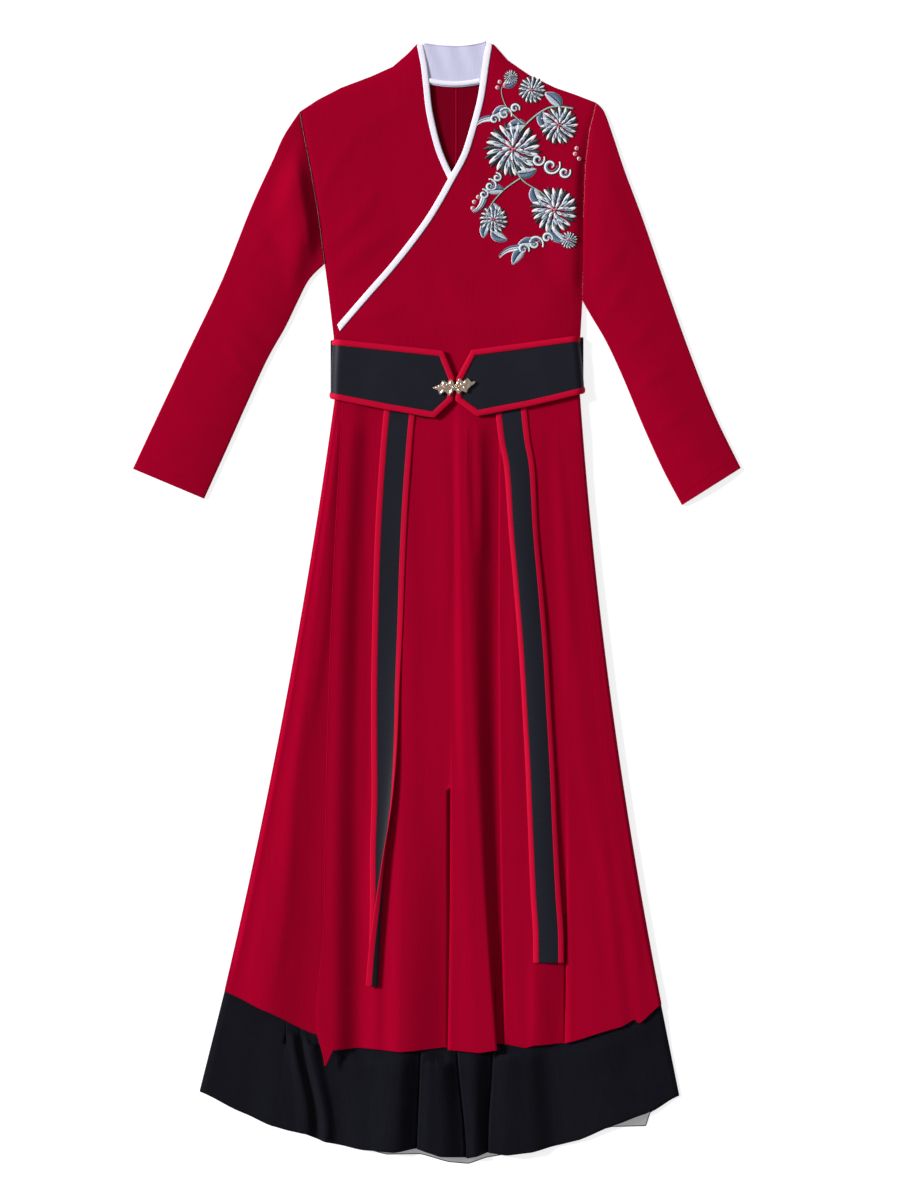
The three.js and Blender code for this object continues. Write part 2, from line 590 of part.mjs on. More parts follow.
// Belt. A place on a wing: distance from the centre along the cloth, y, and height above its underside.
function wingPoint(wing, s, y, up) {
  const flat = wing.reach - WING_BEND - WING;
  const radius = WING_BEND + up;
  const turn = clamp((s - flat) / (WING_BEND * Math.PI * 0.5)) * Math.PI * 0.5;
  if (s <= flat) return new THREE.Vector3(wing.sign * s, y, WING_Z + up);
  return new THREE.Vector3(
    wing.sign * (flat + radius * Math.sin(turn)),
    y,
    WING_Z - WING_BEND + radius * Math.cos(turn),
  );
}
function wingReach(wing) {
  return wing.reach - WING_BEND - WING + WING_BEND * Math.PI * 0.5;
}
const WING_COLUMNS = [0, 0.08, 0.2, 0.4, 0.6, 0.8, 1];
const BEND_SHARES = [0.33, 0.66, 1];
function wingPlan(wing) {
  const flat = wing.reach - WING_BEND - WING;
  const cutAt = (s, v) => mix(yAt(wing.bottom, s), yAt(wing.top, s), v);
  return wing.end.map(([tipS, tipY], i) => {
    const v = i / (wing.end.length - 1);
    const level = WING_COLUMNS.map((u) => {
      const s = mix(tipS, flat, u);
      return [s, mix(tipY, cutAt(s, v), smooth(u / WING_TIP))];
    });
    const bend = BEND_SHARES.map((share) => {
      const s = mix(flat, wingReach(wing), share);
      return [s, cutAt(s, v)];
    });
    return [...level, ...bend];
  });
}
function beltWing(name, wing) {
  const grid = wingPlan(wing).map((row) => row.map(([s, y]) => wingPoint(wing, s, y, 0)));
  return wall(name, wing.sign > 0 ? grid : grid.map((row) => [...row].reverse()), WING, black);
}

// The binding follows the wing's outline from the side, along the top, round the point and back
function beltBinding(name, wing) {
  const reach = wingReach(wing);
  const side = (table) => table.map(([s, y]) => [s > AT_SIDE ? reach : s, y]);
  const [point, bottom] = [[...wing.end].reverse(), [...side(wing.bottom)].reverse()];
  const outline = [...side(wing.top), ...point.slice(1), ...bottom.slice(1)];
  const points = outline.map(([s, y]) => new THREE.Vector2(s, y));
  const normals = points.slice(1).map((p, i) => {
    const way = p.clone().sub(points[i]).normalize();
    return new THREE.Vector2(-way.y, way.x);
  });
  const inner = points.map((p, i) => {
    const [a, b] = [normals[Math.max(0, i - 1)], normals[Math.min(normals.length - 1, i)]];
    const mitre = a.clone().add(b).normalize();
    return p.clone().addScaledVector(mitre, BINDING_WIDTH / Math.max(0.5, mitre.dot(a)));
  });
  inner[0].setX(reach);
  inner[inner.length - 1].setX(reach);
  const flat = wing.reach - WING_BEND - WING;
  const rows = [];
  const add = (p, q) => rows.push([p, q].map(({ x, y }) => wingPoint(wing, x, y, WING + SEAM)));
  points.forEach((p, i) => {
    add(p, inner[i]);
    const q = points[i + 1];
    if (!q) return;
    const cuts = [];
    if (Math.max(p.x, q.x) > flat) {
      cuts.push(flat, ...BEND_SHARES.slice(0, -1).map((share) => mix(flat, reach, share)));
      if (q.x < p.x) cuts.reverse();
    }
    for (const s of cuts) {
      const t = (s - p.x) / (q.x - p.x);
      const other = (s - inner[i].x) / (inner[i + 1].x - inner[i].x);
      const innerY = mix(inner[i].y, inner[i + 1].y, other);
      add(new THREE.Vector2(s, mix(p.y, q.y, t)), new THREE.Vector2(s, innerY));
    }
  });
  return wall(name, rows, TRIM, binding);
}

function beltBack() {
  const { right, left, sag, columns } = BACK_BELT;
  const plan = steps(1).map((v) =>
    steps(columns).map((u) => {
      const low = mix(right.low, left.low, u) - sag.low * Math.sin(Math.PI * u);
      const high = mix(right.high, left.high, u) - sag.high * Math.sin(Math.PI * u);
      return [mix(right.x, left.x, u), mix(low, high, v)];
    }),
  );
  return wall("belt_back", raise(plan, () => 0), BELT, black);
}

// Streamers. The highest place of the skirt under a strip carries it.
function skirtTop(x, y) {
  const row = FRONT_LINES.map((line) => {
    const v = clamp((WAIST_Y - y) / (WAIST_Y - line.hemY));
    return linePoint(line, v);
  });
  const next = Math.max(1, row.findIndex((p) => p.x >= x));
  const [a, b] = [row[next - 1], row[next]];
  const t = clamp((x - a.x) / (b.x - a.x));
  return mix(a.z, b.z, (1 - Math.cos(Math.PI * t)) / 2) + CREPE;
}

// A point across a strip (0 to 1 of its width), for one row of its table
function stripPoint(row, share) {
  const rad = Math.PI / 180;
  const along = share * STREAMER_WIDTH;
  if (row.curl > 1) {
    const turn = row.curl * rad;
    const radius = STREAMER_WIDTH / turn;
    const angle = along / radius;
    return { x: row.x + radius * Math.sin(angle), up: CURL_HEIGHT * radius * (1 - Math.cos(angle)) };
  }
  if (row.crown > 1) {
    const turn = row.crown * rad;
    const radius = STREAMER_WIDTH / turn;
    const angle = along / radius - turn / 2;
    const half = radius * Math.sin(turn / 2);
    return {
      x: row.x + half + radius * Math.sin(angle),
      up: radius * (Math.cos(angle) - Math.cos(turn / 2)),
    };
  }
  return { x: row.x + along, up: 0 };
}
function stripGrid(table, from, to, across) {
  return table.map((row) => {
    const seat = (share) => {
      const { x, up } = stripPoint(row, share);
      return skirtTop(x, row.y) - up;
    };
    const base = Math.max(...steps(STRIP_COLUMNS.seat).map(seat)) + STRIP_REST;
    return steps(across).map((t) => {
      const { x, up } = stripPoint(row, mix(from, to, t));
      return new THREE.Vector3(x, row.y, base + up);
    });
  });
}
function streamer(name, table) {
  const edge = STREAMER_EDGING / STREAMER_WIDTH;
  const gap = STRIP_GAP / STREAMER_WIDTH;
  const flip = (grid) => grid.map((row) => [...row].reverse());
  const strip = (part, from, to, across, material) =>
    wall(`${name}_${part}`, flip(stripGrid(table, from, to, across)), TRIM, material);
  return [
    strip("core", edge + gap, 1 - edge - gap, STRIP_COLUMNS.core, black),
    strip("edging_a", 0, edge, STRIP_COLUMNS.edging, binding),
    strip("edging_b", 1 - edge, 1, STRIP_COLUMNS.edging, binding),
  ];
}

// Clasp: two scrolled metal halves that meet on the belt's centre line
const CLASP = { thickness: 2.4, bevel: 0.6, y: 268 };
const CLASP_LEAVES = {
  right: [[-0.6, 3], [-5, 9.5], [-9, 5.5], [-15, 8], [-18, 3.5], [-27, -0.5], [-21, -3.5], [-18.5, -8.5],
    [-12.5, -5], [-7, -10], [-4.5, -4.5], [-0.6, -3]],
  left: [[0.6, -3], [4.5, -8], [8.5, -4], [14, -6], [16.5, -1], [25, 6.5], [19.5, 7], [15.5, 11],
    [11.5, 6.5], [5, 10.5], [4, 4.5], [0.6, 3]],
};
function claspHalf(side) {
  const shape = new THREE.Shape(CLASP_LEAVES[side].map((p) => new THREE.Vector2(...p)));
  const { thickness, bevel, y } = CLASP;
  const geometry = new THREE.ExtrudeGeometry(shape, {
    depth: thickness - 2 * bevel,
    bevelEnabled: true,
    bevelThickness: bevel,
    bevelSize: bevel,
    bevelOffset: -bevel,
    bevelSegments: 1,
  });
  const mesh = new THREE.Mesh(geometry, metal);
  mesh.name = `clasp_${side}`;
  mesh.position.set(0, y, WING_Z + WING + SEAM + TRIM + SEAM + bevel);
  return mesh;
}

// Assembly
const shownRightEdge = RIGHT.edge.filter(([, y]) => y > CROSSING_Y);
const shownLeftEdge = LEFT.edge.filter(([, y]) => y > TRIM_END_Y);
const dress = new THREE.Group();
dress.position.set(-MIDDLE_X, -MIDDLE_Y, 0);
dress.add(
  backPanel("back_right", RIGHT),
  backPanel("back_left", LEFT),
  frontPanel("front_right", RIGHT, underFrontHeight),
  frontPanel("front_left", LEFT, overFrontHeight),
  sleeve("sleeve_right", RIGHT),
  sleeve("sleeve_left", LEFT),
  collarBack(),
  collarLining(),
  neckSeamBand(),
  neckTrim("neck_trim_right", shownRightEdge, 1, underFrontHeight, TRIM_SEGMENTS.right),
  neckTrim("neck_trim_left", shownLeftEdge, -1, overFrontHeight, TRIM_SEGMENTS.left),
  skirtBack(),
  wall("skirt_side_panel", skirtGrid([SIDE_RIGHT, ...SIDE_PANEL_LINES]), CREPE, crimson),
  wall("skirt_front", skirtGrid([...FRONT_LINES, SIDE_LEFT]), CREPE, crimson),
  wall("underskirt_back", underGrid(UNDER_BACK_LINES, UNDER_BACK_Z, 0), CHIFFON, chiffon),
  wall("underskirt_front", underGrid(UNDER_FRONT_LINES, UNDER_FRONT_Z, CHIFFON + LAID), CHIFFON, chiffon),
  beltBack(),
  beltWing("belt_wing_right", WING_RIGHT),
  beltWing("belt_wing_left", WING_LEFT),
  beltBinding("belt_binding_right", WING_RIGHT),
  beltBinding("belt_binding_left", WING_LEFT),
  ...streamer("streamer_right", STREAMER_RIGHT),
  ...streamer("streamer_left", STREAMER_LEFT),
  claspHalf("right"),
  claspHalf("left"),
);

export default dress;
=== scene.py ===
# A long-sleeved cross-collar dress with a pointed waist belt, laid flat on its back and seen from above.
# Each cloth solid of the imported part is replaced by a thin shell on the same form, with its folds and seams.
# Sizes are millimetres from the centre back seam (x = 0) and from mid length (y = 0), +Y to the collar.
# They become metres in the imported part's frame when a mesh is made.
import json
import math
import random
from collections import namedtuple

import bpy
import numpy as np
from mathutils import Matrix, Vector

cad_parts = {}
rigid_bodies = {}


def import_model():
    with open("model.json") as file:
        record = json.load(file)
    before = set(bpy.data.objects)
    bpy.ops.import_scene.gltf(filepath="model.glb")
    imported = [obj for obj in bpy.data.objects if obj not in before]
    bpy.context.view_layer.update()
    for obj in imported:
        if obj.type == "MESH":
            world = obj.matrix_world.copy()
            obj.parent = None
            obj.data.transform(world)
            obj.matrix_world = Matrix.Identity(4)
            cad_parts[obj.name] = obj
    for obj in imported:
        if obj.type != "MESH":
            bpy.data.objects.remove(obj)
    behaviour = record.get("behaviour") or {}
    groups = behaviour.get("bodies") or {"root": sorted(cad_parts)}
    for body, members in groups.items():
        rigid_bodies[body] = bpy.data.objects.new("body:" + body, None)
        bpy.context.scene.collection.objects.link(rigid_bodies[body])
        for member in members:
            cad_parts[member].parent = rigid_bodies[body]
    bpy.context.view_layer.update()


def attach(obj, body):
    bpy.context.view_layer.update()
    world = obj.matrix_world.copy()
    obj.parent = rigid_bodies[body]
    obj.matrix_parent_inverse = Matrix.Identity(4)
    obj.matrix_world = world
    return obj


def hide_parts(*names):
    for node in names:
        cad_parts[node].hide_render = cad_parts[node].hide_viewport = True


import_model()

MM = 0.001
MIDDLE_X = -22.75
MIDDLE_Y = -1.5

# Walls of the solids, which set how the layers lie, and the thinner cloth of the shells
WALL = 1.5
CHIFFON_WALL = 1.0
BELT_WALL = 1.6
WING_WALL = 2.0
SEAM = 0.3
LAID = 0.5
CREPE = 1.0
CHIFFON = 0.5
SATIN = 0.8

# Bodice
WAIST_Y = 283
PUFF = 2.0
PUFF_REACH = 60
OVERLAP_RAMP = 45
SEWN_DROP = 0.7  # how far a front comes down to the back at their seam
SEWN_REACH = 7
ARMHOLE_GAP = 0.6
SLEEVE_ROLL = 7.5  # height of the fold that stands along the right armhole
SLEEVE_ROLL_REACH = 30
BODICE_ROLL = 3.2  # the same on the bodice, along the left armhole
BODICE_ROLL_REACH = 13

# Belt
BELT_LOW = 228
BELT_HIGH = 338
BELT_EASE = 80
WING_Z = 11.2
WING_BEND = WING_Z - BELT_WALL - SEAM
BINDING_WIDTH = 6.2
WING_MIDDLE = 292

TRIM_WIDTH = 6.2
TRIM_SKEW = 0.55  # how far the left trim's end slants, for each millimetre of its width
SLEEVE_EDGE = 3.4
SLEEVE_PUFF = 2.6
CUFF_HEM = 18

# Streamers
STREAMER_WIDTH = 38.5
STREAMER_EDGING = 6.5
STREAMER_TOP = 246

# Layers of the skirt, from the surface up
UNDER_BACK_Z = WALL + LAID
UNDER_FRONT_Z = UNDER_BACK_Z + CHIFFON_WALL + LAID
SKIRT_Z = UNDER_FRONT_Z + CHIFFON_WALL + LAID
SIDE_Z = WALL + SEAM
UNDER_INSET = 5.5

# Outlines, as (x, y) rows. "Right" and "left" are the wearer's, so the right side has negative x.
Outline = namedtuple("Outline", "side armhole shoulder collar_rise edge sleeve_outer sleeve_inner")
RIGHT = Outline(
    side=[(-148, WAIST_Y), (-151, 330), (-157.5, 385), (-162.5, 423)],
    armhole=[(-162.5, 423), (-170.5, 484), (-179.5, 538), (-187.5, 578), (-193.8, 613)],
    shoulder=[(-193.8, 613), (-171, 628), (-142, 643), (-105, 657), (-77, 669.5)],
    collar_rise=[(-77, 669.5), (-58.8, 685.6), (-48, 697)],
    edge=[(-41.2, 697.5), (-36.2, 671), (-33.5, 648), (-29.4, 613), (-18.8, 569), (-5, 536), (25, 484),
          (62, 440), (100, 390), (122, 340), (132, WAIST_Y)],
    sleeve_outer=[(-194.3, 613), (-214, 583), (-227.5, 553), (-255, 493), (-291, 403), (-335, 310.6),
                  (-377.5, 220.6), (-402.5, 167)],
    sleeve_inner=[(-163, 423), (-182.5, 403), (-198, 373), (-212.5, 343), (-235, 303), (-262.5, 243),
                  (-286, 190), (-313.5, 129.5)],
)
LEFT = Outline(
    side=[(155, WAIST_Y), (156, 330), (158.8, 377)],
    armhole=[(158.8, 377), (160, 484), (162.5, 547), (167.5, 590), (176, 624.4)],
    shoulder=[(176, 624.4), (150, 634.4), (125, 643), (94, 658), (77, 669.5)],
    collar_rise=[(77, 669.5), (66, 677), (57.5, 687), (48, 697.5)],
    edge=[(40, 697.5), (36, 673), (32.5, 648), (27.5, 620.6), (13.8, 572), (6.2, 553), (-6.2, 530.6),
          (-20.6, 504.4), (-36.9, 478), (-58.8, 448), (-83, 418), (-109.4, 388), (-146, 345.6), (-148, 315),
          (-149, WAIST_Y)],
    sleeve_outer=[(176.5, 624.4), (186.5, 613), (197.5, 583), (212.5, 538), (235, 478), (261, 403),
                  (294, 310.6), (324, 235.6), (357, 168)],
    sleeve_inner=[(159.3, 377), (170, 358), (189, 325.6), (210, 280.6), (235, 220.6), (260, 165.6),
                  (283.5, 121.5)],
)
NECK_CURVE = [(0, 643), (-37.5, 647), (-60, 656), (-77, 669.5)]
COLLAR_TOP = [(-48, 697), (-30, 695.5), (-6, 692.6), (12, 693.4), (30, 696.5), (48, 697.5)]
NECK_GAP = 0.5
TUCKED_END = (5, 518.7)  # of the right trim, under the left front
Lining = namedtuple("Lining", "half half_top low top bow")
LINING = Lining(half=33, half_top=39, low=644, top=694.5, bow=4)
LINING_RISE = 4.8  # of the lining's top edge towards both ends
LINING_LEAN = 1.2  # and more towards the left
RED_HEM = [(-287.5, -484), (-234, -509), (-171, -541), (-150, -558), (-62, -559), (0, -560), (52, -551),
           (130, -549), (164, -549), (224, -518), (257.5, -501)]
BACK_HEM_RISE = 4

# Lengthwise lines of the skirt: x at the waist, half way and at the hem, the hem's y, and how high the
# cloth's underside is above the flat underskirt at the same three places
Side = namedtuple("Side", "waist half hem hem_y emerge")
SIDE_RIGHT = Side(waist=-146, half=-207, hem=-287.5, hem_y=-484, emerge=0.86)
SIDE_LEFT = Side(waist=154, half=193, hem=257.5, hem_y=-501, emerge=0.875)
Line = namedtuple("Line", "at waist half hem hem_y up")
SIDE_PANEL_LINES = [
    Line("side bend", -142, -201, -280, -488, (0, 0, 0.2)),
    Line("middle", -138, -185, -236, -509, (0, 2, 5)),
    Line("under the front's edge", -134, -160, -178, -537, (0, 0, 0)),
    Line("inner edge", -128, -148, -153, -545, (0, 0, 0)),
]
FRONT_LINES = [
    Line("free edge", -137, -158, -162, -577, (1.9, 6.4, 10)),
    Line("above the inner edge", -126, -147, -152, -557, (1.9, 7, 10)),
    Line("first valley", -104, -117, -119, -555, (0, 0, 0.6)),
    Line("first ridge", -82, -86, -94, -557, (0, 2.8, 4.4)),
    Line("ridge's far side", -52, -60, -68, -559.5, (0, 6, 9.4)),
    Line("under the high fold", -8, -6, -5, -554, (0.3, 7.3, 0)),
    Line("high fold's edge", -5, -3, -9, -557, (0.5, 7.5, 6.2)),
    Line("high ridge", 8, 12, 30, -560.5, (1.8, 11, 9.6)),
    Line("folded edge", 16, 22, 52, -557, (2, 11.2, 9.8)),
    Line("deep valley", 56, 51, 50, -550, (0, 0, 0)),
    Line("valley's far side", 57, 57, 64, -550, (0, 0, 0)),
    Line("plateau's edge", 57, 55, 62, -550, (0.2, 5, 3.4)),
    Line("plateau", 70, 74, 88, -555, (0.4, 5.2, 4.4)),
    Line("fold's shoulder", 98, 108, 98, -552, (0.5, 4.6, 5.4)),
    Line("soft valley", 116, 134, 139, -549, (0.2, 3.4, 0)),
    Line("left ridge", 122, 142, 137, -549.5, (0.2, 3.5, 3.4)),
    Line("left plateau", 138, 165, 206, -529, (0.2, 3, 4.2)),
    Line("before the tooth", 144, 177, 224, -519.5, (0.2, 2.6, 2.6)),
    Line("tooth", 146, 180, 230, -524.5, (0.2, 2.4, 2.6)),
    Line("side bend", 151.4, 190, 254, -503.5, (0.2, 1.6, 1.4)),
]
FREE_EDGE_SWAY = -10  # how far the free edge swings out before its hooked tip

# Lines of the black underskirt: where they are across its width, the hem's y, and a fold's height at the hem
UNDER_RIGHT_HEM = -318.8
UNDER_LEFT_HEM = 280
UnderLine = namedtuple("UnderLine", "across hem_y fold lean", defaults=(0, 0))
UNDER_FRONT_LINES = [
    UnderLine(0, -610.6),
    UnderLine(0.09, -637, 1),
    UnderLine(0.15, -653, 2.5),
    UnderLine(0.19, -659.5, 3, -0.05),
    UnderLine(0.222, -663, 4.6, -0.07),
    UnderLine(0.243, -669, 0.5, -0.07),
    UnderLine(0.262, -673, 4.2, -0.07),
    UnderLine(0.284, -676, 0.8, -0.06),
    UnderLine(0.34, -683, 3.5, -0.02),
    UnderLine(0.405, -685.5, 7.5),
    UnderLine(0.455, -681.5, 0),
    UnderLine(0.4535, -681.5, 5),
    UnderLine(0.477, -686, 6.4),
    UnderLine(0.502, -691, 6.4, -0.01),
    UnderLine(0.558, -693, 0, -0.0215),
    UnderLine(0.5565, -693, 5.4, -0.0215),
    UnderLine(0.574, -691, 6.6, -0.005),
    UnderLine(0.604, -686, 0, 0.017),
    UnderLine(0.6025, -686, 5.6, 0.017),
    UnderLine(0.64, -689, 6.8, 0.01),
    UnderLine(0.69, -685.8, 5.6),
    UnderLine(0.745, -677.6, 0.8),
    UnderLine(0.79, -671, 1.8),
    UnderLine(0.86, -653, 3),
    UnderLine(0.93, -638, 2),
    UnderLine(1, -615.6),
]
UNDER_BACK_LINES = [
    UnderLine(0, -609),
    UnderLine(0.13, -648),
    UnderLine(0.19, -660),
    UnderLine(0.26, -670),
    UnderLine(0.33, -680),
    UnderLine(0.39, -689.5),
    UnderLine(0.46, -689),
    UnderLine(0.52, -699),
    UnderLine(0.56, -701),
    UnderLine(0.6, -693),
    UnderLine(0.72, -680),
    UnderLine(0.86, -655),
    UnderLine(0.93, -654),
    UnderLine(0.94, -637),
    UnderLine(1, -615),
]
EMERGED = 0.03
SETTLE = 50

# Belt wings, as corners of their outline from the side seam round the pointed end and back
Wing = namedtuple("Wing", "sign reach slant top end bottom")
WING_RIGHT = Wing(
    sign=-1,
    reach=154.6,
    slant=0.045,
    top=[(158, 328), (15, 313)],
    end=[(26, 231), (3.4, 252), (1.6, 280), (15, 313)],
    bottom=[(158, 256), (84, 241), (26, 231)],
)
WING_LEFT = Wing(
    sign=1,
    reach=159.6,
    slant=0.09,
    top=[(163, 332.5), (21, 314)],
    end=[(27.5, 233), (1.4, 252), (2.6, 279), (21, 314)],
    bottom=[(163, 263), (90, 245), (27.5, 233)],
)

# Streamers: y, x of the edge nearer the right side, and the degrees by which the strip bends across its width
STREAMER_RIGHT = [
    (STREAMER_TOP, -87.5, 0), (205, -91.5, 4), (128, -97, 10), (53, -100.5, 14), (-22, -102.5, 24),
    (-97, -104, 42), (-172, -104, 58), (-247, -103.7, 86), (-310, -105.5, 116), (-372, -105.5, 150),
    (-434, -106.5, 182), (-478, -107.5, 196),
]
STREAMER_LEFT = [
    (STREAMER_TOP, 50, 0), (203, 55, 20), (165, 62, 50), (90, 67.5, 80), (15, 74, 80), (-60, 80, 80),
    (-135, 84.5, 84), (-210, 88.5, 80), (-285, 91.5, 76), (-360, 94.5, 60), (-410, 97.5, 50),
    (-449, 98, 50),
]

# Clasp halves: outlines about the belt's centre, and the veins and lobes raised on them
CLASP_Y = 268
CLASP_Z = 14.4
CLASP_OUTLINES = {
    "right": [(-0.6, 3), (-5, 9.5), (-9, 5.5), (-15, 8), (-18, 3.5), (-27, -0.5), (-21, -3.5), (-18.5, -8.5),
              (-12.5, -5), (-7, -10), (-4.5, -4.5), (-0.6, -3)],
    "left": [(0.6, -3), (4.5, -8), (8.5, -4), (14, -6), (16.5, -1), (25, 6.5), (19.5, 7), (15.5, 11),
             (11.5, 6.5), (5, 10.5), (4, 4.5), (0.6, 3)],
}

# Soft folds: where each runs from and to, its half width, its height (a trough's is negative) and how far its
# middle bows out sideways
Crease = namedtuple("Crease", "x y to_x to_y half height bow")


def crease_rows(rows):
    return [Crease(*row) for row in rows]


BODICE_CREASES = crease_rows([
    (-158, 395, -70, 470, 12, 1.3, 8),
    (-165, 440, -96, 520, 10, 1.0, -6),
    (-172, 500, -120, 585, 9, 0.8, 5),
    (-150, 352, -60, 372, 10, 0.8, -4),
    (-140, 575, -60, 620, 14, 0.7, 4),
    (154, 400, 70, 452, 13, 1.2, -8),
    (157, 455, 96, 520, 10, 0.9, 6),
    (152, 340, 20, 372, 12, 1.1, 6),
    (120, 332, -40, 348, 8, 0.9, -3),
    (40, 350, -20, 420, 16, 0.8, 5),
    (90, 380, 40, 470, 15, -0.7, 5),
    (150, 520, 158, 400, 6, 1.0, 2),
])
FRONT_CREASES = crease_rows([
    (20, 240, 24, 60, 3.5, -2.6, 1),
    (30, 236, 33, 40, 6, 1.6, -1),
    (-62, 200, -66, -60, 12, 1.1, 4),
    (-48, 60, -50, -300, 8, 0.9, -4),
    (-12, 215, -14, -80, 7, 0.8, 3),
    (-6, -120, -2, -520, 9, 1.0, 5),
    (-96, -150, -98, -540, 8, 1.2, -3),
    (-118, 120, -120, -330, 6, 0.8, 3),
    (76, 60, 78, -260, 8, 0.8, -2),
    (124, 210, 140, -150, 9, 1.0, 6),
    (146, 40, 178, -330, 10, 0.9, -5),
    (120, -230, 128, -520, 9, 1.0, 4),
    (164, -260, 190, -500, 9, -0.8, 5),
    (206, -330, 232, -490, 8, 0.7, 3),
    (96, -440, 100, -545, 6, 0.8, 2),
])
SIDE_CREASES = crease_rows([
    (-150, 120, -182, -160, 7, 0.8, 4),
    (-176, -60, -214, -380, 9, 0.9, -5),
    (-200, -260, -232, -500, 8, 0.8, 4),
    (-232, -330, -258, -480, 7, 0.6, 3),
])
SLEEVE_RIGHT_CREASES = crease_rows([
    (-172, 440, -232, 470, 9, 1.0, 4),
    (-190, 402, -246, 430, 8, 1.1, -4),
    (-214, 352, -272, 396, 9, 0.9, 5),
    (-236, 312, -300, 352, 7, 1.1, -4),
    (-250, 280, -286, 330, 6, 0.8, 3),
    (-290, 210, -350, 236, 8, 0.7, 4),
    (-205, 540, -262, 420, 13, 0.9, 6),
    (-330, 190, -378, 196, 7, 0.6, 3),
])
SLEEVE_LEFT_CREASES = crease_rows([
    (163, 400, 216, 452, 9, 1.0, -4),
    (180, 352, 226, 400, 8, 1.2, 4),
    (200, 312, 252, 352, 8, 0.9, -4),
    (222, 262, 276, 292, 7, 1.1, 4),
    (246, 214, 296, 246, 7, 0.8, -3),
    (188, 560, 232, 430, 12, 0.9, -6),
    (268, 170, 320, 196, 7, 0.6, 3),
])


# Numbers
UP = (0, 0, 1)
TINY = 1e-9
NEAR_EDGE = np.array([0, 0.35, 1])  # where points lie beside a rounded edge, in shares of its reach
EDGE_CLEAR = 2.5  # and where the even ones begin


def mix(a, b, t):
    return a + (b - a) * t


def clamp(t):
    return np.clip(t, 0.0, 1.0)


def smooth(t):
    return clamp(t) ** 2 * (3 - 2 * clamp(t))


def eased(t):
    return (1 - np.cos(np.pi * t)) / 2


def arch(t):
    """From 0 to 1 and back."""
    return np.sin(np.pi * t)


def swell(t, start, span, power=1):
    """A rise and fall that has begun at 0 and isn't over at 1."""
    return arch(clamp(start + span * t)) ** power


def through(a, b, c, t):
    """A curve through three values, the middle one half way."""
    return a * (1 - t) * (1 - 2 * t) + 4 * b * t * (1 - t) + c * t * (2 * t - 1)


def y_at(table, x):
    rows = np.array(sorted(table, key=lambda row: row[0]))
    return np.interp(x, rows[:, 0], rows[:, 1])


def x_at(table, y):
    rows = np.array(sorted(table, key=lambda row: row[1]))
    return np.interp(y, rows[:, 1], rows[:, 0])


def shares(count, edge=0.004):
    """From 0 to 1, closer together at both ends, where an edge is rounded."""
    inside = np.linspace(EDGE_CLEAR * edge, 1 - EDGE_CLEAR * edge, count)
    return np.concatenate([NEAR_EDGE * edge, inside, 1 - NEAR_EDGE[::-1] * edge])


def splined(table, per_row=12):
    """A soft curve through a table's rows."""
    rows = np.array(table, float)
    before = np.vstack([rows[:1], rows[:-1]])[:-1]
    after = np.vstack([rows[1:], rows[-1:]])[1:]
    t = np.arange(per_row)[None, :, None] / per_row
    p0, p1, p2, p3 = (p[:, None] for p in (before, rows[:-1], rows[1:], after))
    slope_1, slope_2 = (p2 - p0) / 2, (p3 - p1) / 2
    curve = (
        p1
        + slope_1 * t
        + (3 * (p2 - p1) - 2 * slope_1 - slope_2) * t**2
        + (2 * (p1 - p2) + slope_1 + slope_2) * t**3
    )
    return np.vstack([curve.reshape(-1, rows.shape[1]), rows[-1:]])


def unit(vectors):
    return vectors / np.maximum(np.linalg.norm(vectors, axis=-1, keepdims=True), TINY)


def steps(points):
    return np.linalg.norm(np.diff(points, axis=0), axis=1)


def reaches(points):
    """How far along a line each of its points is."""
    return np.concatenate([[0], np.cumsum(steps(points))])


def along(points):
    """A function that gives the place at a share of a line's length."""
    points = np.array(points, float)
    reach = reaches(points)

    def place(t):
        at = np.asarray(t) * reach[-1]
        return np.stack([np.interp(at, reach, points[:, k]) for k in range(points.shape[1])], -1)

    return place


def spaced(points, step):
    length = steps(points).sum()
    return along(points)(np.linspace(0, 1, max(2, int(length / step) + 1)))


def patch(bottom, top, left, right, us, vs):
    """Plan points that fill the space between four edges."""
    u, v = us[None, :, None], vs[:, None, None]
    ruled = mix(bottom(us)[None], top(us)[None], v) + mix(left(vs)[:, None], right(vs)[:, None], u)
    low, high = mix(bottom(0), bottom(1), u), mix(top(0), top(1), u)
    return ruled - mix(low, high, v)


def raised(plan, height):
    return np.dstack([plan, height(plan[..., 0], plan[..., 1])])


CREASE_END = 0.6  # a crease's width at its ends, as a share of its middle's
CREASE_FADE = 0.8


def crease_height(creases, x, y):
    total = np.zeros(np.shape(x))
    for crease in creases:
        run = np.array([crease.to_x - crease.x, crease.to_y - crease.y])
        length = np.hypot(*run)
        run = run / length
        t = ((x - crease.x) * run[0] + (y - crease.y) * run[1]) / length
        middle = arch(clamp(t))
        off = (x - crease.x) * -run[1] + (y - crease.y) * run[0] - crease.bow * middle
        half = crease.half * mix(CREASE_END, 1, middle)
        total += crease.height * np.exp(-((off / half) ** 2)) * middle**CREASE_FADE
    return total


RIPPLES = 6
RIPPLE_SPREAD = (0.7, 1.8)  # of the waves' lengths


def ripple(x, y, wave, height, seed):
    """Gentle unevenness of laid cloth."""
    draw = random.Random(seed)
    total = np.zeros(np.shape(x))
    for _ in range(RIPPLES):
        angle = draw.uniform(0, math.tau)
        length = wave * draw.uniform(*RIPPLE_SPREAD)
        phase = draw.uniform(0, math.tau)
        total += np.sin((x * math.cos(angle) + y * math.sin(angle)) * math.tau / length + phase)
    return total * height / RIPPLES


# Meshes. A part is points in millimetres, faces, and a place on the cloth (in millimetres) for each point.
Part = namedtuple("Part", "points faces cloth")
RIM_ROUND = 0.35  # how far a shell's rim stands out, as a share of its thickness


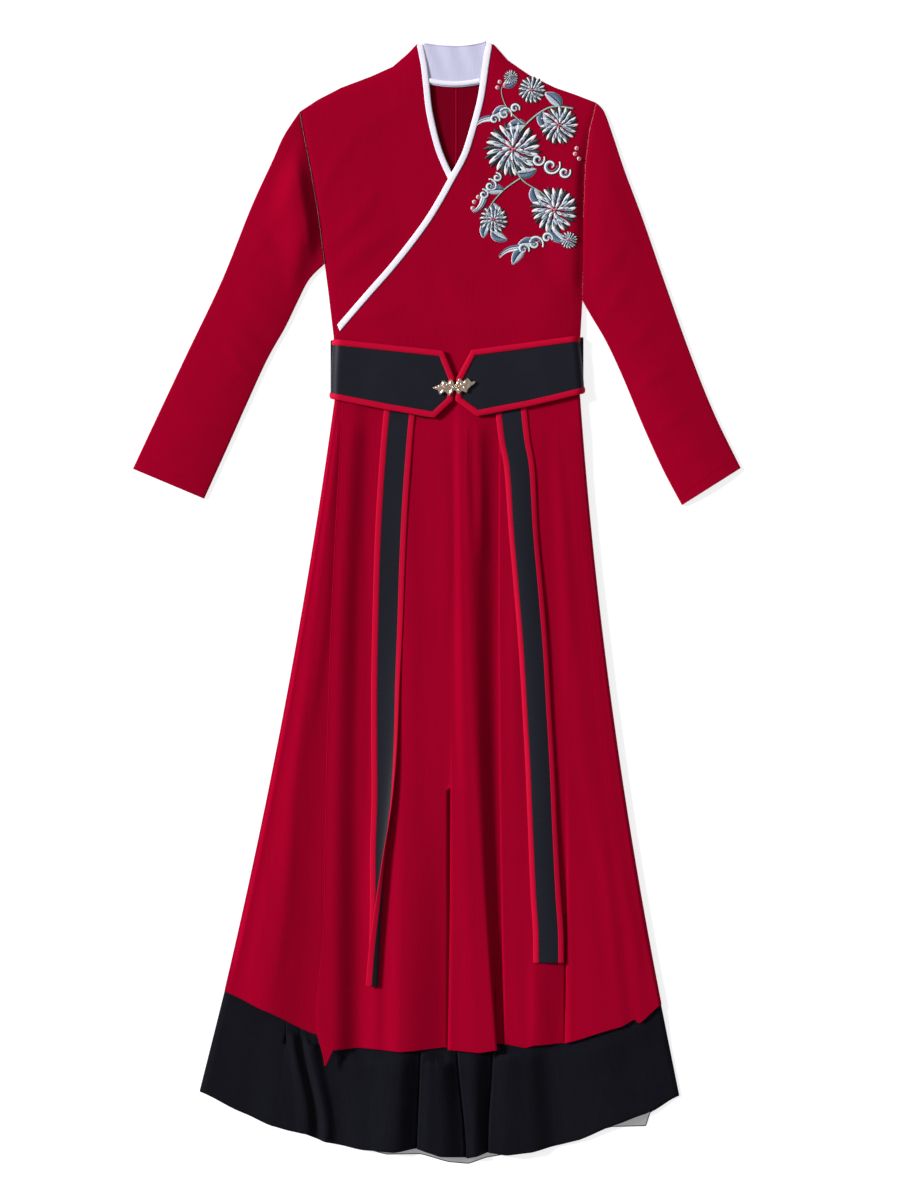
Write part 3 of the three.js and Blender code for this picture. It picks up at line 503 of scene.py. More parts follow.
def normals_of(grid):
    return unit(np.cross(np.gradient(grid, axis=1), np.gradient(grid, axis=0)))


def grid_faces(rows, columns, start, flip):
    r, c = np.meshgrid(np.arange(rows - 1), np.arange(columns - 1), indexing="ij")
    a = start + r * columns + c
    quads = np.stack([a, a + 1, a + columns + 1, a + columns], -1).reshape(-1, 4)
    return quads[:, ::-1] if flip else quads


def shell(grid, thickness, cloth=None, rim=RIM_ROUND):
    """A thin closed wall on a grid of its underside, with a rounded rim."""
    rows, columns = grid.shape[:2]
    cloth = grid[..., :2] if cloth is None else cloth
    normal = normals_of(grid)
    flip = normal[rows // 2, columns // 2, 2] < 0
    if flip:
        normal = -normal
    thick = np.broadcast_to(np.asarray(thickness, float), (rows, columns))[..., None]
    over = grid + normal * thick
    ring = [(0, c) for c in range(columns)]
    ring += [(r, columns - 1) for r in range(1, rows)]
    ring += [(rows - 1, c) for c in range(columns - 2, -1, -1)]
    ring += [(r, 0) for r in range(rows - 2, 0, -1)]
    r, c = np.array(ring).T
    inner_r, inner_c = np.clip(r, 1, rows - 2), np.clip(c, 1, columns - 2)
    outward = unit(grid[r, c] - grid[inner_r, inner_c])
    edge = (grid[r, c] + over[r, c]) / 2 + outward * thick[r, c] * rim
    count = rows * columns
    points = np.vstack([grid.reshape(-1, 3), over.reshape(-1, 3), edge])
    under_ring = r * columns + c
    over_ring = count + under_ring
    rim_ring = 2 * count + np.arange(len(ring))
    nxt = np.roll(np.arange(len(ring)), -1)
    low = np.stack([under_ring, under_ring[nxt], rim_ring[nxt], rim_ring], -1)
    high = np.stack([rim_ring, rim_ring[nxt], over_ring[nxt], over_ring], -1)
    sides = np.vstack([low, high])
    faces = np.vstack(
        [
            grid_faces(rows, columns, 0, not flip),
            grid_faces(rows, columns, count, flip),
            sides[:, ::-1] if flip else sides,
        ]
    )
    flat = cloth.reshape(-1, 2)
    return Part(points, faces.tolist(), np.vstack([flat, flat, cloth[r, c]]))


def rope(line, up, wide, high, sides=8, low=1.0):
    """A closed round strand along a line. Below, it is as deep as a share of its height above."""
    line = np.asarray(line, float)
    count = len(line)
    up = np.broadcast_to(np.asarray(up, float), line.shape)
    side = unit(np.cross(unit(np.gradient(line, axis=0)), up))
    wide = np.broadcast_to(np.asarray(wide, float), (count,))
    high = np.broadcast_to(np.asarray(high, float), (count,))
    angle = np.arange(sides) * math.tau / sides
    rise = np.sin(angle)
    rise = np.where(rise < 0, rise * low, rise)
    points = (
        line[:, None]
        + side[:, None] * (wide[:, None] * np.cos(angle))[..., None]
        + up[:, None] * (high[:, None] * rise)[..., None]
    ).reshape(-1, 3)
    points = np.vstack([points, line[:1], line[-1:]])
    faces = []
    for r in range(count - 1):
        for i in range(sides):
            j = (i + 1) % sides
            faces.append((r * sides + i, (r + 1) * sides + i, (r + 1) * sides + j, r * sides + j))
    first, last = count * sides, count * sides + 1
    for i in range(sides):
        j = (i + 1) % sides
        faces.append((first, i, j))
        faces.append((last, (count - 1) * sides + j, (count - 1) * sides + i))
    reach = reaches(line)
    around = np.cos(angle)[None] * wide[:, None]
    cloth = np.dstack([around, np.broadcast_to(reach[:, None], around.shape)]).reshape(-1, 2)
    cloth = np.vstack([cloth, [[0, reach[0]], [0, reach[-1]]]])
    return Part(points, faces, cloth)


def joined(parts):
    points, faces, cloth, start = [], [], [], 0
    for part in parts:
        points.append(part.points)
        cloth.append(part.cloth)
        faces += [tuple(i + start for i in face) for face in part.faces]
        start += len(part.points)
    return Part(np.vstack(points), faces, np.vstack(cloth))


STITCH_LENGTH = 2.2
STITCH_PITCH = 3.0
STITCH_START = 0.12  # of its pitch
STITCH_SHAPE = np.array([0.15, 0.8, 1, 1, 0.8, 0.15])


def stitches(line, up, half=0.32):
    """A row of separate machine stitches along a line, each a short strand that tapers at its ends."""
    line = np.asarray(line, float)
    ups = np.broadcast_to(np.asarray(up, float), line.shape)
    length = steps(line).sum()
    place = along(line)
    made = []
    for i in range(int(length / STITCH_PITCH)):
        start = (i + STITCH_START) * STITCH_PITCH / length
        t = start + np.linspace(0, STITCH_LENGTH / length, len(STITCH_SHAPE))
        if t[-1] > 1:
            continue
        nearest = min(len(line) - 1, int(round(t.mean() * (len(line) - 1))))
        made.append(rope(place(t), ups[nearest], half * STITCH_SHAPE, half * STITCH_SHAPE, sides=6))
    return joined(made)


def piece(name, parts, replaces=()):
    """One object from (part, material) pairs, in metres, that rides on the body."""
    whole = joined([part for part, _ in parts])
    place = (whole.points - [MIDDLE_X, MIDDLE_Y, 0]) * MM
    mesh = bpy.data.meshes.new(name)
    mesh.from_pydata(place.tolist(), [], [list(face) for face in whole.faces])
    layer = mesh.uv_layers.new(name="cloth")
    vertex = np.empty(len(mesh.loops), np.int32)
    mesh.loops.foreach_get("vertex_index", vertex)
    layer.uv.foreach_set("vector", (whole.cloth * MM)[vertex].astype(np.float32).ravel())
    slots = []
    for part, material in parts:
        if material not in slots:
            slots.append(material)
            mesh.materials.append(material)
    index = np.concatenate([np.full(len(part.faces), slots.index(material)) for part, material in parts])
    mesh.polygons.foreach_set("material_index", index.astype(np.int32))
    mesh.polygons.foreach_set("use_smooth", np.ones(len(mesh.polygons), bool))
    mesh.update()
    obj = bpy.data.objects.new(name, mesh)
    bpy.context.scene.collection.objects.link(obj)
    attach(obj, "root")
    if replaces:
        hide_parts(*replaces)
    return obj


pieces = {}


def dress(node, parts, kind="cloth"):
    """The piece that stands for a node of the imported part."""
    pieces[node] = piece(f"{node}_{kind}", parts, [node])
    return pieces[node]


# Materials
BANDS_TO_UNIT = math.tau / 20  # scale at which a wave texture has one band to a unit of its vector


class Tree:
    """Shader nodes of one material."""

    def __init__(self, name):
        self.material = bpy.data.materials.new(name)
        self.material.use_nodes = True
        self.tree = self.material.node_tree
        self.shader = self.tree.nodes["Principled BSDF"]

    def add(self, kind, inputs=(), **values):
        node = self.tree.nodes.new(kind)
        for key, value in values.items():
            setattr(node, key, value)
        for key, value in dict(inputs).items():
            self.set(node, key, value)
        return node

    def set(self, node, key, value):
        if isinstance(value, bpy.types.NodeSocket):
            self.tree.links.new(value, node.inputs[key])
        else:
            node.inputs[key].default_value = value

    def finish(self, **values):
        for key, value in values.items():
            self.set(self.shader, key.replace("_", " "), value)
        return self.material

    def places(self, x, y):
        """Places on the cloth, in metres, scaled across and along its grain."""
        source = self.add("ShaderNodeUVMap", uv_map="cloth")
        return self.add("ShaderNodeMapping", {"Vector": source.outputs["UV"], "Scale": (x, y, 1)}).outputs[0]

    def noise(self, x, y, detail=2.0, roughness=0.5):
        inputs = {"Vector": self.places(x, y), "Scale": 1.0, "Detail": detail, "Roughness": roughness}
        return self.add("ShaderNodeTexNoise", inputs).outputs["Fac"]

    def wave(self, period, direction):
        """Rows as far apart as the period, in metres, across X or along Y of the grain."""
        inputs = {"Vector": self.places(1, 1), "Scale": BANDS_TO_UNIT / period, "Distortion": 0.0}
        return self.add("ShaderNodeTexWave", inputs, bands_direction=direction).outputs["Fac"]

    def math(self, operation, a, b):
        return self.add("ShaderNodeMath", {0: a, 1: b}, operation=operation).outputs[0]

    def blend(self, a, b, share):
        return self.math("ADD", self.math("MULTIPLY", a, share), self.math("MULTIPLY", b, 1 - share))

    def ramp(self, factor, stops):
        node = self.add("ShaderNodeValToRGB", {"Fac": factor})
        elements = node.color_ramp.elements
        while len(elements) < len(stops):
            elements.new(0.5)
        for element, (at, colour) in zip(elements, stops):
            element.position = at
            element.color = (*colour, 1)
        return node.outputs["Color"]

    def bump(self, height, strength, distance):
        inputs = {"Height": height, "Strength": strength, "Distance": distance}
        return self.add("ShaderNodeBump", inputs).outputs["Normal"]


def scaled(colour, amount):
    return tuple(channel * amount for channel in colour)


SOFT_PATCHES = (22, 5)  # to a metre, across and along the grain
STREAKS = 0.6  # share of the streaks in the unevenness, the rest being soft patches
DARK_STOP, PLAIN_STOP, LIGHT_STOP = 0.3, 0.5, 0.7
PEBBLE = 1.6  # size of crepe's pebbles, and below it the threads' height, in weave periods
WEAVE_HEIGHT = 0.35


def woven(name, colour, spread, period, grain, bump, **finish):
    """Cloth of one colour: a weave, streaks along its grain and soft unevenness."""
    tree = Tree(name)
    across, lengthwise = grain
    streaks = tree.noise(1 / across, 1 / lengthwise, detail=3)
    soft = tree.noise(*SOFT_PATCHES)
    factor = tree.blend(streaks, soft, STREAKS)
    stops = [
        (DARK_STOP, scaled(colour, 1 - spread)),
        (PLAIN_STOP, colour),
        (LIGHT_STOP, scaled(colour, 1 + spread)),
    ]
    weave = tree.math("ADD", tree.wave(period, "X"), tree.wave(period, "Y"))
    pebbles = tree.noise(1 / (PEBBLE * period), 1 / (PEBBLE * period))
    height = tree.math("ADD", tree.math("MULTIPLY", weave, WEAVE_HEIGHT), pebbles)
    return tree.finish(
        Base_Color=tree.ramp(factor, stops),
        Normal=tree.bump(height, bump, period * WEAVE_HEIGHT),
        **finish,
    )


CRIMSON = (0.272, 0.0, 0.0155)
# Inside of the cloth, darker than the crimson: partly its duller wrong side, partly painted shade for the
# neck's opening
WRONG_SIDE_WITH_PAINTED_SHADE = (0.15, 0.0, 0.0085)
BRIGHT_RED = (0.43, 0.0, 0.023)
BLACK_SATIN = (0.0085, 0.0085, 0.0145)
BLACK_CHIFFON = (0.0052, 0.0052, 0.0085)
WHITE = (0.76, 0.73, 0.83)
LAVENDER = (0.52, 0.51, 0.68)

crepe = woven(
    "crimson_crepe", CRIMSON, 0.08, 0.0008, (0.0016, 0.06), 0.35,
    Roughness=0.95, Specular_IOR_Level=0.02,
)
# A darker copy of the crepe for the inside of the back panels, with painted shade in it
inside_crepe_painted_shade = woven(
    "crimson_crepe_inside_painted_shade", WRONG_SIDE_WITH_PAINTED_SHADE, 0.08, 0.0008, (0.0016, 0.06), 0.35,
    Roughness=0.95, Specular_IOR_Level=0.02,
)
red_binding = woven(
    "red_binding", BRIGHT_RED, 0.1, 0.0006, (0.0012, 0.012), 0.3,
    Roughness=0.65, Specular_IOR_Level=0.06,
)
satin = woven(
    "black_satin", BLACK_SATIN, 0.2, 0.0006, (0.02, 0.0012), 0.25,
    Roughness=0.5, Specular_IOR_Level=0.12,
)
chiffon = woven(
    "black_chiffon", BLACK_CHIFFON, 0.25, 0.0005, (0.0012, 0.03), 0.25,
    Roughness=0.75, Specular_IOR_Level=0.03, Alpha=0.95,
)
sheer_chiffon = woven(
    "black_chiffon_sheer", BLACK_CHIFFON, 0.25, 0.0005, (0.0012, 0.03), 0.25,
    Roughness=0.75, Specular_IOR_Level=0.03, Alpha=0.4,
)
white_trim = woven(
    "white_trim", WHITE, 0.05, 0.0006, (0.0012, 0.012), 0.3,
    Roughness=0.7, Specular_IOR_Level=0.25, Sheen_Weight=0.1, Sheen_Roughness=0.4,
)
lining_cotton = woven(
    "collar_lining", LAVENDER, 0.06, 0.0007, (0.002, 0.02), 0.35,
    Roughness=0.85, Specular_IOR_Level=0.2, Sheen_Weight=0.1, Sheen_Roughness=0.5,
)


THREAD_PITCH = 0.0005
THREAD_SHADE = (300, 300)  # patches of lighter and darker thread to a metre
SHADE_BETWEEN_THREADS = 0.72  # painted shade between two threads: the share of its colour left there


def thread(name, colour):
    """Satin stitch: fine threads side by side, across the strand, with painted shade between them."""
    tree = Tree(name)
    rows = tree.wave(THREAD_PITCH, "Y")
    factor = tree.blend(rows, tree.noise(*THREAD_SHADE), 0.5)
    stops = [(0.2, scaled(colour, SHADE_BETWEEN_THREADS)), (0.8, colour)]
    return tree.finish(
        Base_Color=tree.ramp(factor, stops),
        Normal=tree.bump(rows, 0.5, THREAD_PITCH * 0.4),
        Roughness=0.42,
        Specular_IOR_Level=0.4,
    )


seam_thread = thread("seam_thread", (0.36, 0.36, 0.5))
THREADS = {
    "white": thread("thread_white", (0.80, 0.82, 0.84)),
    "mist": thread("thread_mist", (0.47, 0.56, 0.66)),
    "slate": thread("thread_slate", (0.085, 0.15, 0.26)),
    "ink": thread("thread_ink", (0.008, 0.01, 0.016)),
    "pink": thread("thread_pink", (0.72, 0.16, 0.25)),
    "sage": thread("thread_sage", (0.42, 0.50, 0.42)),
}


TARNISH = (0.50, 0.36, 0.27)
ROSE_GOLD = (0.84, 0.70, 0.58)


def gilt(name):
    """Polished pale rose-gold plate, dull in patches."""
    tree = Tree(name)
    tarnish = tree.noise(420, 420, detail=3)
    stops = [(0.35, TARNISH), (0.6, ROSE_GOLD)]
    fine = tree.noise(1500, 1500)
    return tree.finish(
        Base_Color=tree.ramp(tarnish, stops),
        Metallic=1.0,
        Roughness=tree.add(
            "ShaderNodeMapRange", {"Value": tarnish, "To Min": 0.42, "To Max": 0.2}
        ).outputs[0],
        Normal=tree.bump(fine, 0.15, 0.0001),
    )


clasp_metal = gilt("clasp_metal")


# Heights of the laid layers. Over the back of the belt everything is lifted.
def lift(y):
    return (BELT_WALL + SEAM) * (smooth((y - BELT_LOW) / BELT_EASE + 1) - smooth((y - BELT_HIGH) / BELT_EASE))


def side_of(outline):
    return [*outline.side, *outline.armhole[1:]]


def shoulder_of(outline):
    return [*outline.shoulder, *outline.collar_rise[1:]]


def stand_off(outline, x, y):
    from_side = np.abs(x_at(side_of(outline), y) - x)
    from_shoulder = y_at(shoulder_of(outline), x) - y

    def rise(d):
        return np.sin(clamp(d / PUFF_REACH) * np.pi / 2)

    nearest = np.minimum(from_side, np.maximum(from_shoulder, 0))
    sewn = SEWN_DROP * (1 - smooth(nearest / SEWN_REACH))
    return lift(y) + WALL + SEAM + PUFF * rise(from_side) * rise(from_shoulder) - sewn


BELT_TUCK = 12  # how far inside the belt's upper edge the bodice's folds begin
FOLD_RISE = 30  # and how far on they have their full height
ROLL_FADE = 3  # how far a fold along a seam takes to die away, in its reaches
ROLL_LOW = 360  # where the fold along the left armhole starts and ends, and how far it takes to do so
ROLL_LOW_FADE = 60
ROLL_HIGH = 530
ROLL_HIGH_FADE = 70
DEEPEST = -0.5  # of the bodice's troughs
OVERLAP_START = 8  # how far beyond the right front's edge the left front begins to come down
BODICE_RIPPLE = dict(wave=90, height=0.25, seed=3)


def above_belt(y):
    """No fold runs under the belt."""
    return smooth((y - BELT_HIGH + BELT_TUCK) / FOLD_RISE)


def roll(distance, reach):
    """A fold that rises from a seam and dies away beyond its reach."""
    return eased(clamp(distance / reach)) * (1 - smooth((distance - reach) / (ROLL_FADE * reach)))


def under_front_height(x, y):
    low = np.minimum(stand_off(RIGHT, x, y), stand_off(LEFT, x, y))
    folds = crease_height(BODICE_CREASES, x, y) + ripple(x, y, **BODICE_RIPPLE)
    ends = smooth((y - ROLL_LOW) / ROLL_LOW_FADE) * (1 - smooth((y - ROLL_HIGH) / ROLL_HIGH_FADE))
    folds = folds + BODICE_ROLL * roll(x_at(side_of(LEFT), y) - x, BODICE_ROLL_REACH) * ends
    return low + np.maximum(folds * above_belt(y), DEEPEST)


def over_front_height(x, y):
    beyond = x - x_at(RIGHT.edge, y)
    return under_front_height(x, y) + (WALL + LAID) * (1 - smooth((beyond - OVERLAP_START) / OVERLAP_RAMP))


FACES_UP = 0.5


def show_wrong_side_and_shade(panel):
    """The upper face of a back panel is the inside of the dress, in a darker crepe: partly the duller wrong
    side of the cloth and partly painted shade where it shows in the neck's opening.
    """
    panel.data.materials.append(inside_crepe_painted_shade)
    for polygon in panel.data.polygons:
        if polygon.normal.z > FACES_UP:
            polygon.material_index = 1


# Bodice
BODICE_ROWS = shares(64)
BODICE_FOOT = WAIST_Y + SEAM / 2
CENTRE_SEAM = 1.6  # x of the back seam's ridge, which is pressed to one side
CENTRE_SEAM_POINTS = 90


def above_waist(points):
    points = np.array(points, float)
    points[..., 1] = np.maximum(points[..., 1], BODICE_FOOT)
    return points


def back_panel(outline):
    sign = np.sign(outline.side[0][0])
    seam_x = sign * SEAM / 2
    neck = along([(seam_x, NECK_CURVE[0][1]), *[(-x * sign, y) for x, y in NECK_CURVE[1:]]])
    shoulder = along(outline.shoulder[::-1])
    side = along(side_of(outline))

    def top(u):
        u = np.asarray(u, float)
        return np.where((u < 0.5)[..., None], neck(clamp(2 * u)), shoulder(clamp(2 * u - 1)))

    plan = patch(
        bottom=along([(seam_x, BODICE_FOOT), (outline.side[0][0], BODICE_FOOT)]),
        top=top,
        left=along([(seam_x, BODICE_FOOT), (seam_x, NECK_CURVE[0][1])]),
        right=lambda v: above_waist(side(v)),
        us=shares(40, 0.006),
        vs=BODICE_ROWS,
    )
    return shell(raised(plan, lambda x, y: lift(y)), CREPE)


def front_panel(outline, height):
    """The grid of a front's underside."""
    edge = along(splined(outline.edge[::-1], 8))
    side = along(side_of(outline))
    top = along([outline.edge[0], *outline.collar_rise[::-1], *outline.shoulder[::-1][1:]])
    start = outline.edge[-1]
    plan = patch(
        bottom=lambda u: above_waist(along([start, outline.side[0]])(u)),
        top=top,
        left=lambda v: above_waist(edge(v)),
        right=lambda v: above_waist(side(v)),
        us=shares(70),
        vs=BODICE_ROWS,
    )
    return raised(plan, height)


def sleeve_plan(outline):
    """A function that gives plan points for shares across and along a sleeve, and its width there."""
    outward = np.array([np.sign(outline.sleeve_outer[0][0]) * ARMHOLE_GAP, 0])
    outer = along(splined(outline.sleeve_outer))
    inner = along(splined(outline.sleeve_inner))
    head = along(outline.armhole[::-1])
    cuff = along([outline.sleeve_outer[-1], outline.sleeve_inner[-1]])

    def place(u, v):
        return patch(lambda s: head(s) + outward, cuff, outer, inner, np.atleast_1d(u), np.array([v]))[0]

    def width(v):
        return float(np.linalg.norm(outer(v) - inner(v)))

    return place, width


SLEEVE_RINGS = np.concatenate(
    [[0, 0.004, 0.01], np.linspace(0.018, 0.1, 15), np.linspace(0.112, 0.985, 62), [0.993, 0.998, 1]]
)
SLEEVE_LENGTH = 500
SLEEVE_ACROSS = np.sin(np.linspace(-np.pi / 2, np.pi / 2, 33)) / 2 + 0.5
SLEEVE_BEND = np.linspace(-np.pi / 2, np.pi / 2, 7)[1:-1]
SLEEVE_RIPPLE = dict(wave=70, height=0.3, seed=11)
HEAD_SEWN = 0.012  # share of its length over which a sleeve comes down to its armhole
ROLL_SIDE = 0.1  # how far from a sleeve's edges the fold along its armhole starts, in shares of the width
ROLL_SIDE_FADE = 0.3
SLEEVE_TOP = slice(len(SLEEVE_ACROSS) + len(SLEEVE_BEND), 2 * len(SLEEVE_ACROSS) + len(SLEEVE_BEND))


def sleeve_ring(place, width, v, creases, inset):
    """One ring of a flattened sleeve: its underside, a rounded edge, its top and the other rounded edge."""
    half_edge = SLEEVE_EDGE / 2
    radius = half_edge - inset
    w = width(v)

    def spot(distance, z):
        plan = place(np.atleast_1d(distance) / w, v)
        return np.column_stack([plan, np.broadcast_to(z, len(plan))])

    flat = half_edge + SLEEVE_ACROSS * (w - SLEEVE_EDGE)
    under = spot(flat, half_edge - radius)
    over = spot(flat, half_edge + radius)
    puff = SLEEVE_PUFF * arch(SLEEVE_ACROSS) ** 0.8 * smooth(v * 6 + 0.2)
    away = arch(SLEEVE_ACROSS) ** 0.5
    x, y = over[:, 0], over[:, 1]
    folds = crease_height(creases, x, y) + ripple(x, y, **SLEEVE_RIPPLE)
    sewn = SEWN_DROP * (1 - smooth(v / HEAD_SEWN))
    if creases is SLEEVE_RIGHT_CREASES:
        outer_side = smooth((SLEEVE_ACROSS - ROLL_SIDE) / ROLL_SIDE_FADE)
        within = outer_side * smooth((1 - SLEEVE_ACROSS) / ROLL_SIDE_FADE)
        puff = puff + SLEEVE_ROLL * roll(v * SLEEVE_LENGTH, SLEEVE_ROLL_REACH) * within
    over[:, 2] += puff + folds * away * smooth(v * 12) * smooth((1 - v) * 30) - sewn * away
    out, up = radius * np.cos(SLEEVE_BEND), radius * np.sin(SLEEVE_BEND)
    far = spot(w - half_edge + out, half_edge + up)
    near = spot(half_edge - out, half_edge - up)
    return np.vstack([under, far, over[::-1], near])


def tube(outer, inner):
    """A closed wall between outer and inner rings, open inside."""
    rings, around = outer.shape[:2]
    points = np.vstack([outer.reshape(-1, 3), inner.reshape(-1, 3)])
    faces = []
    for i in range(around):
        j = (i + 1) % around
        for r in range(rings - 1):
            a, b = r * around, (r + 1) * around
            faces.append((a + i, a + j, b + j, b + i))
            a, b = a + rings * around, b + rings * around
            faces.append((a + i, b + i, b + j, a + j))
        last = (rings - 1) * around
        inside = rings * around
        faces.append((inside + i, inside + j, j, i))
        faces.append((last + i, last + j, inside + last + j, inside + last + i))
    return points, faces


def sleeve(outline, creases):
    place, width = sleeve_plan(outline)
    walls = [[sleeve_ring(place, width, v, creases, inset) for v in SLEEVE_RINGS] for inset in (0, CREPE)]
    points, faces = tube(*np.array(walls))
    if outline is LEFT:
        faces = [face[::-1] for face in faces]
    way = unit(np.subtract(outline.sleeve_outer[-1], outline.sleeve_outer[0]))
    turned = np.column_stack([points[:, 0] * way[1] - points[:, 1] * way[0], points[:, :2] @ way])
    row = sleeve_ring(place, width, 1 - CUFF_HEM / SLEEVE_LENGTH, creases, 0)
    seam = stitches(row[SLEEVE_TOP] + [0, 0, 0.12], UP, half=0.25)
    return Part(points, faces, turned), seam


def edge_bead(grid, thickness, line, wide=0.9, high=0.75, step=2.5):
    """A narrow rolled hem along one line of a grid, such as its last row."""
    normal = normals_of(grid)
    if normal[grid.shape[0] // 2, grid.shape[1] // 2, 2] < 0:
        normal = -normal
    middle = grid + normal * thickness * 0.5
    return rope(spaced(middle[line], step), UP, wide, high)


LAST_ROW = np.s_[-1]
FIRST_COLUMN = np.s_[:, 0]


def bodice():
    for node, outline in (("back_right", RIGHT), ("back_left", LEFT)):
        show_wrong_side_and_shade(dress(node, [(back_panel(outline), crepe)]))
    y = np.linspace(WAIST_Y + 2, NECK_CURVE[0][1] - 1, CENTRE_SEAM_POINTS)
    ridge = np.column_stack([np.full(CENTRE_SEAM_POINTS, CENTRE_SEAM), y, lift(y) + CREPE + 0.1])
    piece("back_seam_cloth", [(rope(ridge, UP, wide=1.1, high=0.45), crepe)])
    for node, outline, height in (
        ("front_right", RIGHT, under_front_height),
        ("front_left", LEFT, over_front_height),
    ):
        dress(node, [(shell(front_panel(outline, height), CREPE), crepe)])
    for node, outline, creases in (
        ("sleeve_right", RIGHT, SLEEVE_RIGHT_CREASES),
        ("sleeve_left", LEFT, SLEEVE_LEFT_CREASES),
    ):
        body, seam = sleeve(outline, creases)
        dress(node, [(body, crepe), (seam, crepe)])


# Collar
LINING_WALL = 0.9
LINING_BULGE = 0.5
LINING_WAVE = dict(height=0.35, across=9, up=4)
LINING_SEAMS = (0.16, 0.22)  # where its two rows of stitches are, in shares of its height
BAND_POINTS = 41
BAND_Z = 3.2
BAND_HALF = 3.1
BAND_HIGH = 1.5
BAND_RISE = 4  # of its middle line above the lining's foot


def collar_end(outline):
    """An end of the collar, whose foot clears the neck's seam."""
    end = along(outline.collar_rise)
    return lambda v: end(v) + np.multiply.outer(1 - np.asarray(v), [0, NECK_GAP])


def collar():
    neck = along(NECK_CURVE[::-1] + [(-x, y) for x, y in NECK_CURVE[1:]])
    plan = patch(
        bottom=lambda u: neck(u) + [0, NECK_GAP],
        top=along(COLLAR_TOP),
        left=collar_end(RIGHT),
        right=collar_end(LEFT),
        us=shares(40, 0.01),
        vs=shares(10, 0.02),
    )
    band = shell(raised(plan, lambda x, y: np.zeros(np.shape(x))), CREPE)
    dress("collar_back", [(band, crepe)])

    u, v = np.meshgrid(shares(40, 0.01), shares(16, 0.02))
    across = 2 * u - 1
    x = across * mix(LINING.half, LINING.half_top, v)
    foot = LINING.low + LINING.bow * across**2
    top = LINING.top + LINING_RISE * across**2 + LINING_LEAN * across**3
    wave = LINING_WAVE["height"] * np.sin(LINING_WAVE["across"] * across + LINING_WAVE["up"] * v)
    z = WALL + SEAM + LINING_BULGE * arch(v) + wave * v
    grid = np.dstack([x, mix(foot, top, v), z])
    parts = [(shell(grid, LINING_WALL), lining_cotton)]
    for share in LINING_SEAMS:
        row = grid[int(share * len(grid))]
        parts.append((stitches(row + [0, 0, 1.0], UP, half=0.3), seam_thread))
    rolled_top = rope(spaced(grid[-1] + [0, 0.2, 0.5], 2), UP, wide=1.0, high=0.9)
    dress("collar_lining", [*parts, (rolled_top, lining_cotton)])

    t = np.linspace(-1, 1, BAND_POINTS)
    y = LINING.low + BAND_RISE + LINING.bow * t**2
    line = np.column_stack([t * (LINING.half - 1), y, np.full(BAND_POINTS, BAND_Z)])
    band = rope(line, UP, wide=BAND_HALF, high=BAND_HIGH, sides=14, low=0.7)
    dress("neck_seam_band", [(band, white_trim)])


TRIM_OVERHANG = 0.5  # beyond the cloth's edge
TRIM_REST = 0.08
TRIM_LENGTH = 600  # for the weave alone
TRIM_END = 0.07  # share of its length over which the left trim's end slants
TRIM_STITCHED = 0.84  # where its stitches are, in shares of its width


def neck_trim(edge, side, height, skew):
    """Bias trim folded over the front's edge, from (x, y) rows of that edge."""
    line = along(splined(edge, 16))
    t = np.linspace(0, 1, 150)
    way = unit(line(clamp(t + 0.01)) - line(clamp(t - 0.01)))
    beside = np.column_stack([way[:, 1], -way[:, 0]]) * side
    across = shares(8, 0.06)
    distance = mix(-TRIM_OVERHANG, TRIM_WIDTH, across)
    slant = skew * smooth((t - 1 + TRIM_END) / TRIM_END)[:, None] * np.maximum(distance, 0)[None]
    plan = line(t)[:, None] + beside[:, None] * distance[None, :, None] + way[:, None] * slant[..., None]
    grid = raised(plan, lambda x, y: height(x, y) + CREPE + TRIM_REST)
    dome = 0.55 + 0.5 * swell(across, start=0.04, span=0.92, power=0.5)
    body = shell(grid, dome[None, :], np.dstack(np.meshgrid(distance, t * TRIM_LENGTH)))
    fold = rope(grid[:, 0] + [0, 0, -0.45], UP, wide=0.9, high=1.0, sides=10)
    row = grid[:, np.searchsorted(across, TRIM_STITCHED)] + [0, 0, 0.95]
    return [(part, white_trim) for part in (body, fold, stitches(row, UP, half=0.24))]


def neck_trims():
    seen = [*RIGHT.edge[:6], TUCKED_END]
    dress("neck_trim_right", neck_trim(seen, 1, under_front_height, 0))
    to_belt = LEFT.edge[:-2]
    dress("neck_trim_left", neck_trim(to_belt, -1, over_front_height, TRIM_SKEW))


# Skirt
BELT_FREE = 238  # where the skirt's folds begin under the belt's lower edge, and how far on they are full
BELT_FREE_FADE = 34
SWAY_START, SWAY_FADE = 0.78, 0.16  # of the free edge, in shares of its length
SWAY_END, SWAY_END_FADE = 0.94, 0.06
SIDE_SEWN = 0.6  # how far a side seam is drawn down, as a share of SEWN_DROP
SIDE_OPENS, SIDE_OPENS_FADE = 0.92, 0.06
SIDE_OPENING = 3.0  # how far the side seam lifts at the hem, where the underskirt comes out
HEM_CURVE = 0.2  # how far the hem's edge curves between its lines rather than running straight
SKIRT_TOP = WAIST_Y - SEAM / 2
SKIRT_ROWS = np.concatenate([np.linspace(0, 0.99, 150), [0.995, 0.998, 1]])
SKIRT_RIPPLE = dict(wave=60, height=0.3)
RIPPLE_STRETCH = 0.3  # ripples are longer down the skirt than across it
TROUGH = 0.6  # how far a fold may dip below the flat cloth


